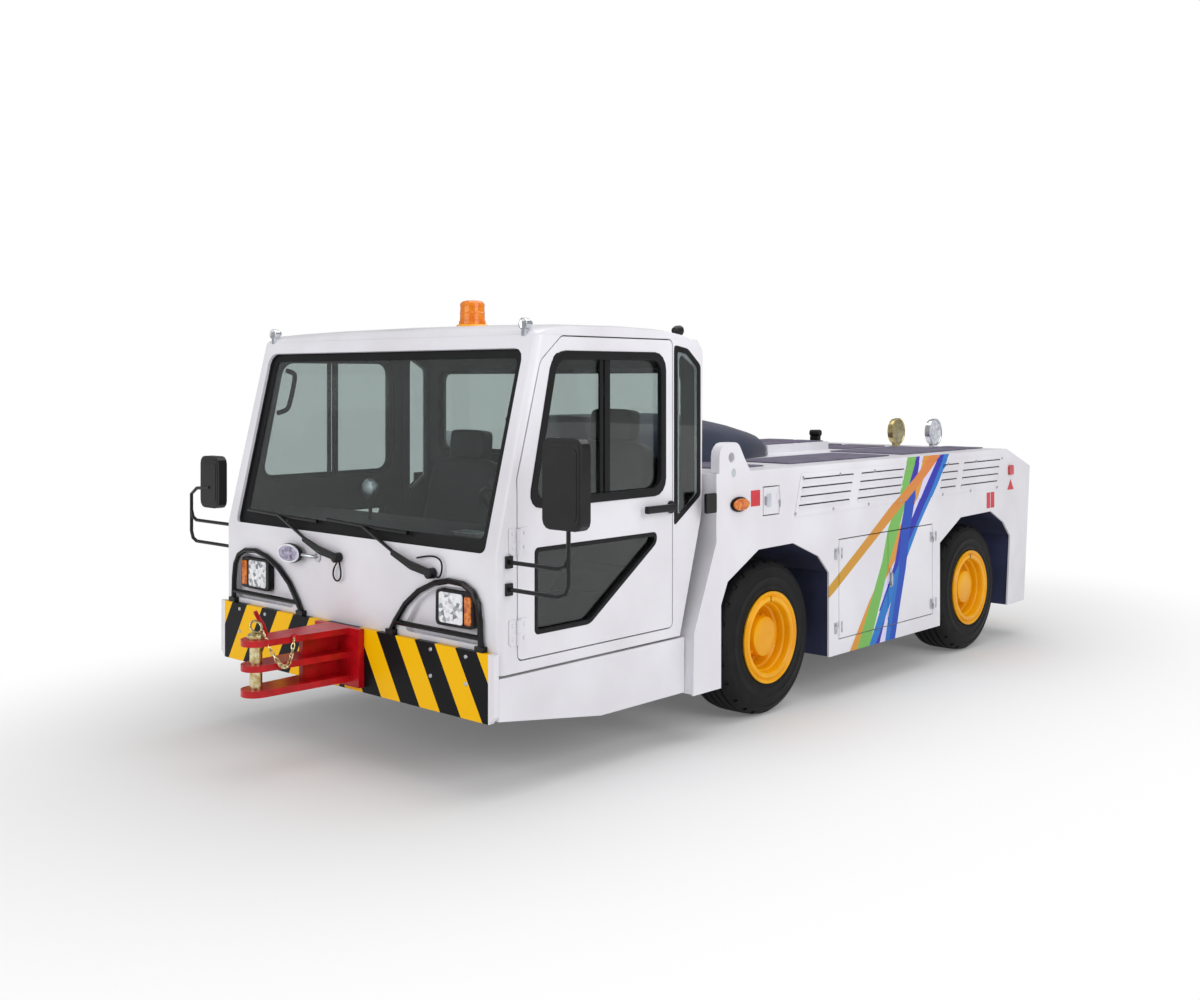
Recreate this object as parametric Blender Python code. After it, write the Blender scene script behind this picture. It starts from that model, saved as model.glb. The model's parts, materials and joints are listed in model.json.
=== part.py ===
"""Airport baggage tug: a two-seat cab in front of a low battery body, on four pneumatic wheels.

Metres, +Z up, front towards -Y, the vehicle's left side towards +X. The origin is on the ground, in the
middle of the whole outline. Tables give y behind the front (or rear) axle and z above the ground with
the drawn tyre; front() and rear() place them.
"""

import math

import bmesh
import bpy
from mathutils import Matrix, Vector

for old in list(bpy.data.objects):
    bpy.data.objects.remove(old)

# ---------------------------------------------------------------- driving sizes
WHEELBASE = 1.968
BODY_HALF = 0.920          # half width over the battery body's side panels
CAB_INSET = 0.045          # the cab is this much narrower on each side
TYRE_RADIUS = 0.353
TYRE_WIDTH = 0.230
DRAWN_RADIUS = 0.353       # the tyre that the tables' heights were drawn for
DRAWN_WHEELBASE = 1.968

GAP = 0.0003               # between faces that touch
PLAY = 0.005               # round doors and lids
PIN_PLAY = 0.0005          # round pins, spindles and between hinge knuckles

CAB_WALL = 0.040
CAB_FLOOR = 0.025
PANEL = 0.010              # side panels and their doors
SHEET = 0.012              # deck, bulkhead and rear wall
GLASS = 0.006
RECESS = 0.023             # windscreen behind the pillars' front

CAB_BOTTOM = 0.450
CAB_TOP = 1.678            # where the roof sits
WAIST = 0.875              # fold below the windscreen
CAB_FRONT = -1.700
CAB_RAKE = 0.2528          # the front's lean above the waist, y per z
DECK = 1.112
BODY_BOTTOM = 0.201
BODY_FRONT = -0.461
BODY_REAR = 0.702          # behind the rear axle

RAIL_INNER = 0.330         # chassis rails, from the middle
RAIL_WIDTH = 0.060
RAIL_TOP_REAR = 0.590
RAIL_DEPTH = 0.120

BUMPER = 0.025             # thickness of the bumper plates
BUMPER_LOW = 0.278
BUMPER_HIGH = 0.529
HITCH_REACH = 0.405        # pin's distance from the bumper's face
HITCH_NOSE = 0.058         # radius of the plates round the pin
PIN_RADIUS = 0.024
REAR_HITCH_REACH = 0.170

KINGPIN_X = 0.280          # inwards of the side panel's face
WHEEL_X = 0.163            # wheel's middle, inwards of the side panel's face
SPINDLE_RADIUS = 0.030
BEAM_HALF = 0.040

MIRROR_OUT = 0.325         # furthest point of either mirror, outwards of the side panels

# ---------------------------------------------------------------- worked out
LIFT = TYRE_RADIUS - DRAWN_RADIUS
WHEEL_STEPS = 32                                       # sides of the tyres and rims
AXLE_Z = TYRE_RADIUS * math.cos(math.pi / WHEEL_STEPS)  # a flat side stands on the ground
CAB_HALF = BODY_HALF - CAB_INSET
MIRROR_REACH = BODY_HALF + MIRROR_OUT
CAB_INNER = CAB_HALF - CAB_WALL
PANEL_IN = BODY_HALF - PANEL
BODY_IN = PANEL_IN - GAP
BUMPER_FACE = CAB_FRONT - GAP - BUMPER
PIN_Y = BUMPER_FACE - HITCH_REACH
REAR_PIN_Y = BODY_REAR + GAP + BUMPER + REAR_HITCH_REACH
NOSE_Y = PIN_Y - HITCH_NOSE
TAIL_Y = WHEELBASE + REAR_PIN_Y + HITCH_NOSE
FRONT_AXLE_Y = -(NOSE_Y + TAIL_Y) / 2
REAR_AXLE_Y = FRONT_AXLE_Y + WHEELBASE
RAIL_OUTER = RAIL_INNER + RAIL_WIDTH
KING_X = BODY_HALF - KINGPIN_X
TYRE_X = BODY_HALF - WHEEL_X
CAB_LEAN = math.atan(CAB_RAKE)


def front(points):
    """Points (y behind the front axle, z) in the object's frame."""
    return [(FRONT_AXLE_Y + y, LIFT + z) for y, z in points]


def rear(points):
    """Points (y behind the rear axle, z) in the object's frame."""
    return [(REAR_AXLE_Y + y, LIFT + z) for y, z in points]


# ---------------------------------------------------------------- materials
def material(name, colour, roughness, metallic=0.0, alpha=1.0):
    made = bpy.data.materials.new(name)
    made.use_nodes = True
    shader = made.node_tree.nodes["Principled BSDF"]
    shader.inputs["Base Color"].default_value = (*colour, 1.0)
    shader.inputs["Roughness"].default_value = roughness
    shader.inputs["Metallic"].default_value = metallic
    shader.inputs["Alpha"].default_value = alpha
    return made


# name: colour, roughness, metallic, alpha
FINISHES = {
    "white_paint": ((0.80, 0.80, 0.83), 0.30, 0.0, 1.0),
    "yellow_paint": ((0.93, 0.52, 0.01), 0.35, 0.0, 1.0),
    "red_paint": ((0.55, 0.01, 0.02), 0.30, 0.0, 1.0),
    "striped_paint": ((0.90, 0.60, 0.02), 0.35, 0.0, 1.0),
    "black_paint": ((0.015, 0.015, 0.017), 0.35, 0.0, 1.0),
    "chassis_paint": ((0.03, 0.035, 0.05), 0.55, 0.0, 1.0),
    "rubber": ((0.02, 0.02, 0.022), 0.80, 0.0, 1.0),
    "black_plastic": ((0.02, 0.02, 0.022), 0.50, 0.0, 1.0),
    "grey_plastic": ((0.07, 0.08, 0.11), 0.45, 0.0, 1.0),
    "glass": ((0.10, 0.13, 0.14), 0.05, 0.0, 0.4),
    "lamp_glass": ((0.85, 0.86, 0.90), 0.10, 0.0, 1.0),
    "amber_glass": ((0.90, 0.25, 0.01), 0.15, 0.0, 1.0),
    "chrome": ((0.80, 0.80, 0.82), 0.10, 1.0, 1.0),
    "brass": ((0.75, 0.62, 0.35), 0.20, 1.0, 1.0),
    "zinc": ((0.75, 0.68, 0.45), 0.30, 1.0, 1.0),
    "vinyl": ((0.02, 0.025, 0.03), 0.60, 0.0, 1.0),
}
MATERIALS = {name: material(name, *values) for name, values in FINISHES.items()}


# ---------------------------------------------------------------- shapes
# A frame turns a drawing's (a, b, c) into x, y, z: the outline lies in a and b and is extruded along c.
SIDE = Matrix(((0, 0, 1, 0), (1, 0, 0, 0), (0, 1, 0, 0), (0, 0, 0, 1)))    # a = y, b = z, c = x
FRONT = Matrix(((1, 0, 0, 0), (0, 0, 1, 0), (0, 1, 0, 0), (0, 0, 0, 1)))   # a = x, b = z, c = y
PLAN = Matrix.Identity(4)                                                  # a = x, b = y, c = z


def slab(outline, low, high, frame=SIDE):
    """The outline extruded from low to high."""
    shape = bmesh.new()
    bottom = [shape.verts.new(frame @ Vector((a, b, low))) for a, b in outline]
    top = [shape.verts.new(frame @ Vector((a, b, high))) for a, b in outline]
    shape.faces.new(bottom)
    shape.faces.new(top)
    for i in range(len(outline)):
        j = (i + 1) % len(outline)
        shape.faces.new((bottom[i], bottom[j], top[j], top[i]))
    bmesh.ops.recalc_face_normals(shape, faces=shape.faces)
    return shape


def block(x0, x1, y0, y1, z0, z1):
    return slab([(x0, y0), (x1, y0), (x1, y1), (x0, y1)], z0, z1, PLAN)


def circle(a, b, radius, steps=20):
    turns = [2 * math.pi * i / steps for i in range(steps)]
    return [(a + radius * math.cos(t), b + radius * math.sin(t)) for t in turns]


def rounded(points, radius, steps=3):
    """The polygon with each corner made an arc. radius is one number or one for each corner."""
    outline = []
    count = len(points)
    for i, here in enumerate(points):
        size = radius if isinstance(radius, (int, float)) else radius[i]
        here = Vector(here)
        before = (Vector(points[i - 1]) - here).normalized()
        after = (Vector(points[(i + 1) % count]) - here).normalized()
        half = before.angle(after) / 2
        if size <= 0:
            outline.append(tuple(here))
            continue
        middle = here + (before + after).normalized() * size / math.sin(half)
        start = here + before * size / math.tan(half) - middle
        end = here + after * size / math.tan(half) - middle
        turn = math.atan2(start.x * end.y - start.y * end.x, start.dot(end))
        for k in range(steps + 1):
            angle = turn * k / steps
            c, s = math.cos(angle), math.sin(angle)
            outline.append((middle.x + c * start.x - s * start.y, middle.y + s * start.x + c * start.y))
    return outline


def grown(points, distance):
    """The polygon with every edge moved outwards by distance, or inwards if it is negative."""
    count = len(points)
    area = sum(points[i - 1][0] * points[i][1] - points[i][0] * points[i - 1][1] for i in range(count))
    sign = 1 if area > 0 else -1
    moved = []
    for i in range(count):
        before, here, after = (Vector(points[j % count]) for j in (i - 1, i, i + 1))
        first, second = (here - before).normalized(), (after - here).normalized()
        one = Vector((first.y, -first.x)) * sign
        two = Vector((second.y, -second.x)) * sign
        spread = (one + two) / (1 + one.dot(two))
        moved.append(tuple(here + spread * distance))
    return moved


def turned(profile, centre, axis="X", steps=WHEEL_STEPS, closed=True):
    """The profile of (height along the axis, radius) turned round an axis through centre."""
    shape = bmesh.new()
    rings = []
    for height, radius in profile:
        if radius < 1e-6:
            rings.append([shape.verts.new(on_axis(centre, axis, height, 0, 0))])
            continue
        angles = [2 * math.pi * (i + 0.5) / steps for i in range(steps)]
        rings.append(
            [shape.verts.new(on_axis(centre, axis, height, radius, angle)) for angle in angles]
        )
    pairs = list(zip(rings, rings[1:] + rings[:1])) if closed else list(zip(rings, rings[1:]))
    for one, two in pairs:
        for i in range(steps):
            j = (i + 1) % steps
            corners = [one[i % len(one)], one[j % len(one)], two[j % len(two)], two[i % len(two)]]
            face = list(dict.fromkeys(corners))
            if len(face) > 2:
                shape.faces.new(face)
    bmesh.ops.recalc_face_normals(shape, faces=shape.faces)
    return shape


def on_axis(centre, axis, height, radius, angle):
    across, up = radius * math.cos(angle), radius * math.sin(angle)
    offset = {"X": (height, across, up), "Y": (across, height, up), "Z": (across, up, height)}[axis]
    return Vector(centre) + Vector(offset)


def rod(start, end, radius, steps=16):
    """A round bar between two points."""
    start, end = Vector(start), Vector(end)
    turn = (end - start).to_track_quat("Z", "Y").to_matrix().to_4x4()
    frame = Matrix.Translation(start) @ turn
    return slab(circle(0, 0, radius, steps), 0, (end - start).length, frame)


def tube(path, radius, steps=8):
    """A round bar along a bent path."""
    points = [Vector(p) for p in path]
    shape = bmesh.new()
    rings = []
    side = None
    for i, here in enumerate(points):
        before = (here - points[i - 1]).normalized() if i else None
        after = (points[i + 1] - here).normalized() if i + 1 < len(points) else None
        along = ((before or after) + (after or before)).normalized()
        side = along.orthogonal().normalized() if side is None else (side - along * side.dot(along)).normalized()
        other = along.cross(side)
        angles = [2 * math.pi * k / steps for k in range(steps)]
        rings.append(
            [shape.verts.new(here + radius * (side * math.cos(t) + other * math.sin(t))) for t in angles]
        )
    for one, two in zip(rings, rings[1:]):
        for k in range(steps):
            j = (k + 1) % steps
            shape.faces.new((one[k], one[j], two[j], two[k]))
    shape.faces.new(rings[0])
    shape.faces.new(rings[-1])
    bmesh.ops.recalc_face_normals(shape, faces=shape.faces)
    return shape


def loft(sections):
    """A closed solid through rings of the same number of points, capped at both ends."""
    shape = bmesh.new()
    rings = [[shape.verts.new(Vector(p)) for p in section] for section in sections]
    for one, two in zip(rings, rings[1:]):
        for i in range(len(one)):
            j = (i + 1) % len(one)
            shape.faces.new((one[i], one[j], two[j], two[i]))
    shape.faces.new(rings[0])
    shape.faces.new(rings[-1])
    bmesh.ops.recalc_face_normals(shape, faces=shape.faces)
    return shape


def helper(name, shape):
    """A hidden shape that is added to, or cut from, a piece."""
    mesh = bpy.data.meshes.new(name)
    shape.to_mesh(mesh)
    shape.free()
    made = bpy.data.objects.new(name, mesh)
    made.hide_render = True
    made.display_type = "WIRE"
    bpy.context.scene.collection.objects.link(made)
    return made


def piece(name, finish, shape, add=(), cut=(), origin=(0, 0, 0)):
    """One solid of the object: a shape, what is joined to it and what is cut from it."""
    mesh = bpy.data.meshes.new(name)
    shape.to_mesh(mesh)
    shape.free()
    mesh.transform(Matrix.Translation(-Vector(origin)))
    mesh.materials.append(MATERIALS[finish])
    made = bpy.data.objects.new(name, mesh)
    made.location = origin
    bpy.context.scene.collection.objects.link(made)
    for kind, operation, shapes in (("add", "UNION", add), ("cut", "DIFFERENCE", cut)):
        for number, other in enumerate(shapes, 1):
            label = f"{name}_{kind}_{number}"
            modifier = made.modifiers.new(label, "BOOLEAN")
            modifier.operation = operation
            modifier.solver = "EXACT"
            modifier.object = helper(label, other)
    mesh.shade_smooth()
    mesh.set_sharp_from_angle(angle=math.radians(35))
    return made


def both_sides(make):
    """Calls make(side, word) for the vehicle's left and right."""
    for side, word in ((1, "left"), (-1, "right")):
        make(side, word)


# ---------------------------------------------------------------- wheels
# Half of the tyre's outline: (from its middle as a share of its half width, out from the rim's seat as a
# share of its height)
BEAD_SHARE = 0.763
TYRE_SHAPE = ((0.99, 0.36), (0.99, 0.72), (0.87, 0.94), (0.52, 1.0))
SEAT_RADIUS = 0.190        # the rim under the tyre's bead
FLANGE_RADIUS = 0.205
FLANGE_CLEAR = 0.00157     # past the rim's flange, where the tyre's wall bulges over it
# Rim and hub, (outwards of the wheel's middle, radius); the seat and the bore are added in code
RIM_INNER = ((-0.030, 0.085), (-0.012, 0.085), (-0.012, 0.160), (-0.104, 0.170))
RIM_OUTER = ((0.129, 0.190), (0.095, 0.168), (0.004, 0.142), (0.004, 0.095))
HUB_DOME = ((0.040, 0.092), (0.068, 0.060), (0.072, 0.0))
BORE_DEPTH = 0.050


def wheel(side, word, place, y):
    centre = (side * TYRE_X, y, AXLE_Z)
    half = TYRE_WIDTH / 2
    seat = SEAT_RADIUS + GAP
    height = TYRE_RADIUS - seat
    outer = [(BEAD_SHARE * half, seat), (BEAD_SHARE * half, FLANGE_RADIUS + FLANGE_CLEAR)]
    outer += [(share * half, seat + out * height) for share, out in TYRE_SHAPE]
    profile = outer + [(-a, r) for a, r in reversed(outer)]
    piece(f"tyre_{place}_{word}", "rubber", turned(profile, centre), origin=centre)

    seat_half = BEAD_SHARE * half + GAP
    bore = SPINDLE_RADIUS + PIN_PLAY
    profile = [(BORE_DEPTH, 0.0), (BORE_DEPTH, bore), (RIM_INNER[0][0], bore), *RIM_INNER]
    profile += [(-0.104, FLANGE_RADIUS), (-seat_half, FLANGE_RADIUS), (-seat_half, SEAT_RADIUS)]
    profile += [(seat_half, SEAT_RADIUS), (seat_half, FLANGE_RADIUS), (0.129, FLANGE_RADIUS)]
    profile += [*RIM_OUTER, *HUB_DOME]
    profile = [(side * a, r) for a, r in profile]
    shape = turned(profile, centre, closed=False)
    piece(f"rim_{place}_{word}", "yellow_paint", shape, origin=centre)


def wheels():
    for place, y in (("front", FRONT_AXLE_Y), ("rear", REAR_AXLE_Y)):
        both_sides(lambda side, word: wheel(side, word, place, y))


# ---------------------------------------------------------------- axles
PIN_EYE = 0.045            # radius of the beam's eye round the kingpin
KINGPIN = 0.015
BEAM_LOW = -0.043          # from the axle's height
BEAM_HIGH = 0.037
SPRING_HALF = 0.360
SPRING_LEAF = 0.030
SPRING_X = (0.335, 0.385)


def springs(y):
    """Leaf springs between an axle and the chassis rails above it."""
    rail = LIFT + RAIL_TOP_REAR - RAIL_DEPTH - GAP
    seat = AXLE_Z + BEAM_HIGH - 0.005
    # share of the half length, share of the rise from the axle to the rail
    shape = ((0.17, 0.0), (0.55, 0.45), (1.0, 1.0))
    rise = rail - SPRING_LEAF - seat
    low = [(y + a * SPRING_HALF, seat + b * rise) for a, b in shape]
    low = [(2 * y - a, b) for a, b in reversed(low)] + low
    outline = low + [(a, b + SPRING_LEAF) for a, b in reversed(low)]
    return [slab(outline, side * SPRING_X[0], side * SPRING_X[1]) for side in (1, -1)]


def front_axle():
    y = FRONT_AXLE_Y
    low, high = AXLE_Z + BEAM_LOW, AXLE_Z + BEAM_HIGH
    beam = block(-KING_X, KING_X, y - BEAM_HALF, y + BEAM_HALF, low, high)
    eyes = [slab(circle(side * KING_X, y, PIN_EYE), low, high, PLAN) for side in (1, -1)]
    bores = [
        slab(circle(side * KING_X, y, KINGPIN + PIN_PLAY), low - 0.01, high + 0.01, PLAN) for side in (1, -1)
    ]
    piece("front_axle", "chassis_paint", beam, add=eyes + springs(y), cut=bores)


FORK_TOP = 0.072           # from the axle's height
FORK_BOTTOM = -0.078
FORK_WEB = 0.050           # web's distance outwards of the kingpin
FORK_CLEAR = 0.004         # between the beam's top and the upper arm
WEB = 0.030


def knuckle(side, word):
    """The fork round the axle's eye, with its kingpin and the spindle that carries the wheel."""
    y = FRONT_AXLE_Y
    low, high = AXLE_Z + BEAM_LOW - PIN_PLAY, AXLE_Z + BEAM_HIGH + FORK_CLEAR
    top, bottom = AXLE_Z + FORK_TOP, AXLE_Z + FORK_BOTTOM
    inner, web = KING_X - BEAM_HALF, KING_X + FORK_WEB
    outline = [(inner, bottom), (web + WEB, bottom), (web + WEB, top), (inner, top)]
    outline += [(inner, high), (web, high), (web, low), (inner, low)]
    fork = slab([(side * x, z) for x, z in outline], y - BEAM_HALF, y + BEAM_HALF, FRONT)
    pin = slab(circle(side * KING_X, y, KINGPIN), bottom + 0.01, top - 0.01, PLAN)
    end = TYRE_X + BORE_DEPTH - GAP
    spindle = rod((side * (web + 0.01), y, AXLE_Z), (side * end, y, AXLE_Z), SPINDLE_RADIUS, 20)
    piece(f"knuckle_{word}", "chassis_paint", fork, add=[pin, spindle], origin=(side * KING_X, y, AXLE_Z))


MOTOR_RADIUS = 0.120
MOTOR_LENGTH = 0.420


def rear_axle():
    """Driven axle: tube, gear housing, drive motor ahead of it, springs and spindles."""
    y = REAR_AXLE_Y
    end = TYRE_X + BORE_DEPTH - GAP
    spindle = rod((-end, y, AXLE_Z), (end, y, AXLE_Z), SPINDLE_RADIUS, 20)
    tube_end = TYRE_X - 0.060
    casing = rod((-tube_end, y, AXLE_Z), (tube_end, y, AXLE_Z), 0.055, 20)
    bowl = ((-0.16, 0.0), (-0.16, 0.06), (-0.09, 0.14), (0.09, 0.14), (0.16, 0.06), (0.16, 0.0))
    housing = turned(bowl, (0, y, AXLE_Z), steps=24, closed=False)
    motor = rod((0, y - MOTOR_LENGTH, AXLE_Z + 0.01), (0, y, AXLE_Z + 0.01), MOTOR_RADIUS, 24)
    piece("rear_axle", "chassis_paint", spindle, add=[casing, housing, motor, *springs(y)])


# ---------------------------------------------------------------- chassis
# Wheel arches in the side panels, y from their axle and z; the lower ends are at the panel's bottom.
FRONT_ARCH = (
    (-0.428, 0.555), (-0.380, 0.649), (-0.149, 0.765), (0.125, 0.769), (0.338, 0.689), (0.430, 0.603),
)
REAR_ARCH = (
    (-0.431, 0.644), (-0.189, 0.761), (0.178, 0.768), (0.342, 0.694), (0.433, 0.607),
)
LINER_CLEAR = 0.006        # the liner's inner face, outwards of the arch
LINER = 0.010
WALL = 0.030               # the wheel house's wall on the rail
BRIDGE = 0.060             # the bar over the rails between two wheel houses, along and in height
BRIDGE_HIGH = 0.035


def arch(points, y, grow=0.0):
    """A wheel arch as a closed outline, its ends at the body's bottom; it grows with the tyre."""
    spread = TYRE_RADIUS / DRAWN_RADIUS
    shape = [(y + a * spread, AXLE_Z + (b - DRAWN_RADIUS) * spread) for a, b in points]
    bottom = LIFT + BODY_BOTTOM
    shape = [(shape[0][0], bottom), *shape, (shape[-1][0], bottom)]
    if not grow:
        return shape
    wider = grown(shape, grow)
    wider[0] = (wider[0][0], bottom)
    wider[-1] = (wider[-1][0], bottom)
    return wider


def wheel_houses(name, points, y):
    """Both wheel arches' liners of one axle, their walls at the rails, and the bridge over the rails."""
    inner = arch(points, y, LINER_CLEAR)
    outer = arch(points, y, LINER_CLEAR + LINER)
    rail, low = RAIL_OUTER + GAP, LIFT + RAIL_TOP_REAR - RAIL_DEPTH
    wall = [(outer[1][0], low), *outer[1:-1], (outer[-2][0], low)]
    over = LIFT + RAIL_TOP_REAR + GAP
    half = rail + WALL / 2
    parts = []
    for side in (1, -1):
        parts.append(bend_corner(slab(inner + outer[::-1], side * rail, side * BODY_IN)))
        parts.append(slab(wall, side * rail, side * (rail + WALL)))
    bridge = block(-half, half, y - BRIDGE / 2, y + BRIDGE / 2, over, over + BRIDGE_HIGH)
    piece(name, "chassis_paint", bridge, add=parts)


def chassis():
    """Two rails that step up behind the cab, and their cross members; and the wheel houses on them."""
    cab_rail = CAB_BOTTOM - GAP
    top = front([(CAB_FRONT, cab_rail), (-0.640, cab_rail), (-0.560, RAIL_TOP_REAR)])
    top += rear([(BODY_REAR - SHEET - GAP, RAIL_TOP_REAR)])
    bottom = rear([(BODY_REAR - SHEET - GAP, RAIL_TOP_REAR - RAIL_DEPTH)])
    bottom += front([(-0.475, RAIL_TOP_REAR - RAIL_DEPTH), (-0.575, cab_rail - RAIL_DEPTH)])
    bottom += front([(CAB_FRONT, cab_rail - RAIL_DEPTH)])
    rails = [slab(top + bottom, side * RAIL_INNER, side * RAIL_OUTER) for side in (1, -1)]
    # cross members: y of the middle, lowest and highest z
    at_front = [(CAB_FRONT + 0.04, 0.335, 0.445), (-0.95, 0.335, 0.445), (-0.28, 0.480, 0.580)]
    at_rear = [(0.30, 0.480, 0.580), (BODY_REAR - 0.06, 0.480, 0.580)]
    spans = [(FRONT_AXLE_Y + y, low, high) for y, low, high in at_front]
    spans += [(REAR_AXLE_Y + y, low, high) for y, low, high in at_rear]
    members = [
        block(-RAIL_INNER - 0.01, RAIL_INNER + 0.01, y - 0.03, y + 0.03, LIFT + low, LIFT + high)
        for y, low, high in spans
    ]
    piece("chassis_frame", "chassis_paint", rails[0], add=[*members, rails[1]])
    wheel_houses("wheel_houses_front", FRONT_ARCH, FRONT_AXLE_Y)
    wheel_houses("wheel_houses_rear", REAR_ARCH, REAR_AXLE_Y)


BATTERY_CLEAR = 0.120      # from the side panels' faces
BATTERY_TOP = 1.050
BATTERY_LOW = 0.240
BATTERY_ENDS = 0.490       # from each axle, clear of the wheel houses of the drawn tyre
MOTOR_CLEAR = 0.010        # the battery stays this far from the drive motor's end


def battery():
    """The traction battery: one block that straddles the rails."""
    half = BODY_HALF - BATTERY_CLEAR
    slot = LIFT + RAIL_TOP_REAR + GAP
    low, high = LIFT + BATTERY_LOW, LIFT + BATTERY_TOP
    one, two = RAIL_INNER - GAP, RAIL_OUTER + GAP
    right = [(one, low), (one, slot), (two, slot), (two, low), (half, low), (half, high)]
    outline = right + [(-x, z) for x, z in reversed(right)]
    past_wheel = BATTERY_ENDS * TYRE_RADIUS / DRAWN_RADIUS
    y0 = FRONT_AXLE_Y + past_wheel
    y1 = REAR_AXLE_Y - max(past_wheel, MOTOR_LENGTH + MOTOR_CLEAR)
    piece("battery_pack", "black_plastic", slab(outline, y0, y1, FRONT))


# ---------------------------------------------------------------- battery body
FACET_TOP = (BODY_REAR, 1.001)      # rear corners: the side bends inwards behind this line
FACET_LOW = (0.456, 0.637)
FACET_SLOPE = 0.08


def bend_corner(shape):
    """Bends the rear corners inwards behind the fold line."""
    (y0, z0), (y1, z1) = rear([FACET_TOP, FACET_LOW])
    along = Vector((0, y0 - y1, z0 - z1)).normalized()
    normal = Vector((1, 0, 0)).cross(along)
    if normal.y < 0:
        normal.negate()
    point = Vector((0, y0, z0))
    parts = [*shape.verts, *shape.edges, *shape.faces]
    bmesh.ops.bisect_plane(shape, geom=parts, plane_co=point, plane_no=normal, dist=1e-6)
    for vertex in shape.verts:
        beyond = normal.dot(vertex.co - point)
        if beyond > 1e-6 and abs(vertex.co.x) > CAB_INNER:
            vertex.co.x -= math.copysign(FACET_SLOPE * beyond, vertex.co.x)
    return shape


BODY_TOP = [(BODY_FRONT, 0.822), (BODY_FRONT, DECK)]
BODY_FOOT = [(-0.622, BODY_BOTTOM + 0.004), (-0.616, 0.459)]
BODY_TAIL = [(0.387, DECK), (BODY_REAR, 1.001), (BODY_REAR, BODY_BOTTOM - 0.004)]
HATCH = (0.200, 0.985, 1.600, 0.046)   # half width, y from, y to, height above the deck
NOTCH_HALF = 0.405


def rear_body():
    """Bulkhead, deck, rear chamfer and rear wall in one bent sheet, with the raised middle hatch."""
    outer = front(BODY_FOOT + BODY_TOP) + rear(BODY_TAIL)
    inner = grown(outer, -SHEET)
    inner[0] = (inner[0][0], outer[0][1])
    inner[-1] = (inner[-1][0], outer[-1][1])
    sheet = bend_corner(slab(outer + inner[::-1], -BODY_IN, BODY_IN))
    half, y0, y1, height = HATCH
    stretch = WHEELBASE - DRAWN_WHEELBASE
    hatch = block(
        -half, half, FRONT_AXLE_Y + y0, FRONT_AXLE_Y + y1 + stretch, LIFT + DECK - 0.005, LIFT + DECK + height
    )
    notch = block(
        -NOTCH_HALF, NOTCH_HALF, FRONT_AXLE_Y - 0.70, FRONT_AXLE_Y - 0.40, 0, LIFT + RAIL_TOP_REAR + GAP
    )
    piece("rear_body", "white_paint", sheet, add=[hatch], cut=[notch])


# Lifting ear, y from the front axle and z, with the radius of each corner
EAR = ((-0.440, 1.113, 0), (-0.440, 1.241, 0.060), (-0.305, 1.241, 0.050), (-0.205, 1.113, 0))
EAR_HOLE = (-0.352, 1.177, 0.022)
ACCESS = (0.516, 1.455, 0.272, 0.751)      # double door in the side: y0, y1, z0, z1
FLAP = (-0.117, 0.013, 0.907, 1.038)
KNUCKLE = 0.006                            # radius of the side doors' hinge barrels
KNUCKLE_LENGTH = 0.030
ACCESS_HINGES = (0.3305, 0.683)
FLAP_HINGE = 0.972
POCKET_DEPTH = 0.070


def access_span():
    """The double door's front and rear edges, tied to the wheel arches on either side."""
    return FRONT_AXLE_Y + ACCESS[0], REAR_AXLE_Y + ACCESS[1] - DRAWN_WHEELBASE


def barrel(x, y, z, radius, length):
    """A hinge barrel whose lower end is at z."""
    return slab(circle(x, y, radius, 12), z, z + length, PLAN)


def side_hinge(side, y, z, fixed, inwards):
    """Half of a side door's hinge: its barrel outside the panel, and a small leaf on the panel's face.

    The fixed half is below the moving one. inwards is the direction of this half's leaf along y.
    """
    x = side * (BODY_HALF + KNUCKLE)
    low = z - KNUCKLE_LENGTH if fixed else z + PIN_PLAY
    knuckle_half = barrel(x, y, low, KNUCKLE, KNUCKLE_LENGTH)
    leaf = block(
        side * (BODY_HALF - 0.001), side * (BODY_HALF + 0.003), y, y + inwards * 0.022, low, low + KNUCKLE_LENGTH
    )
    return [knuckle_half, leaf]


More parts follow.
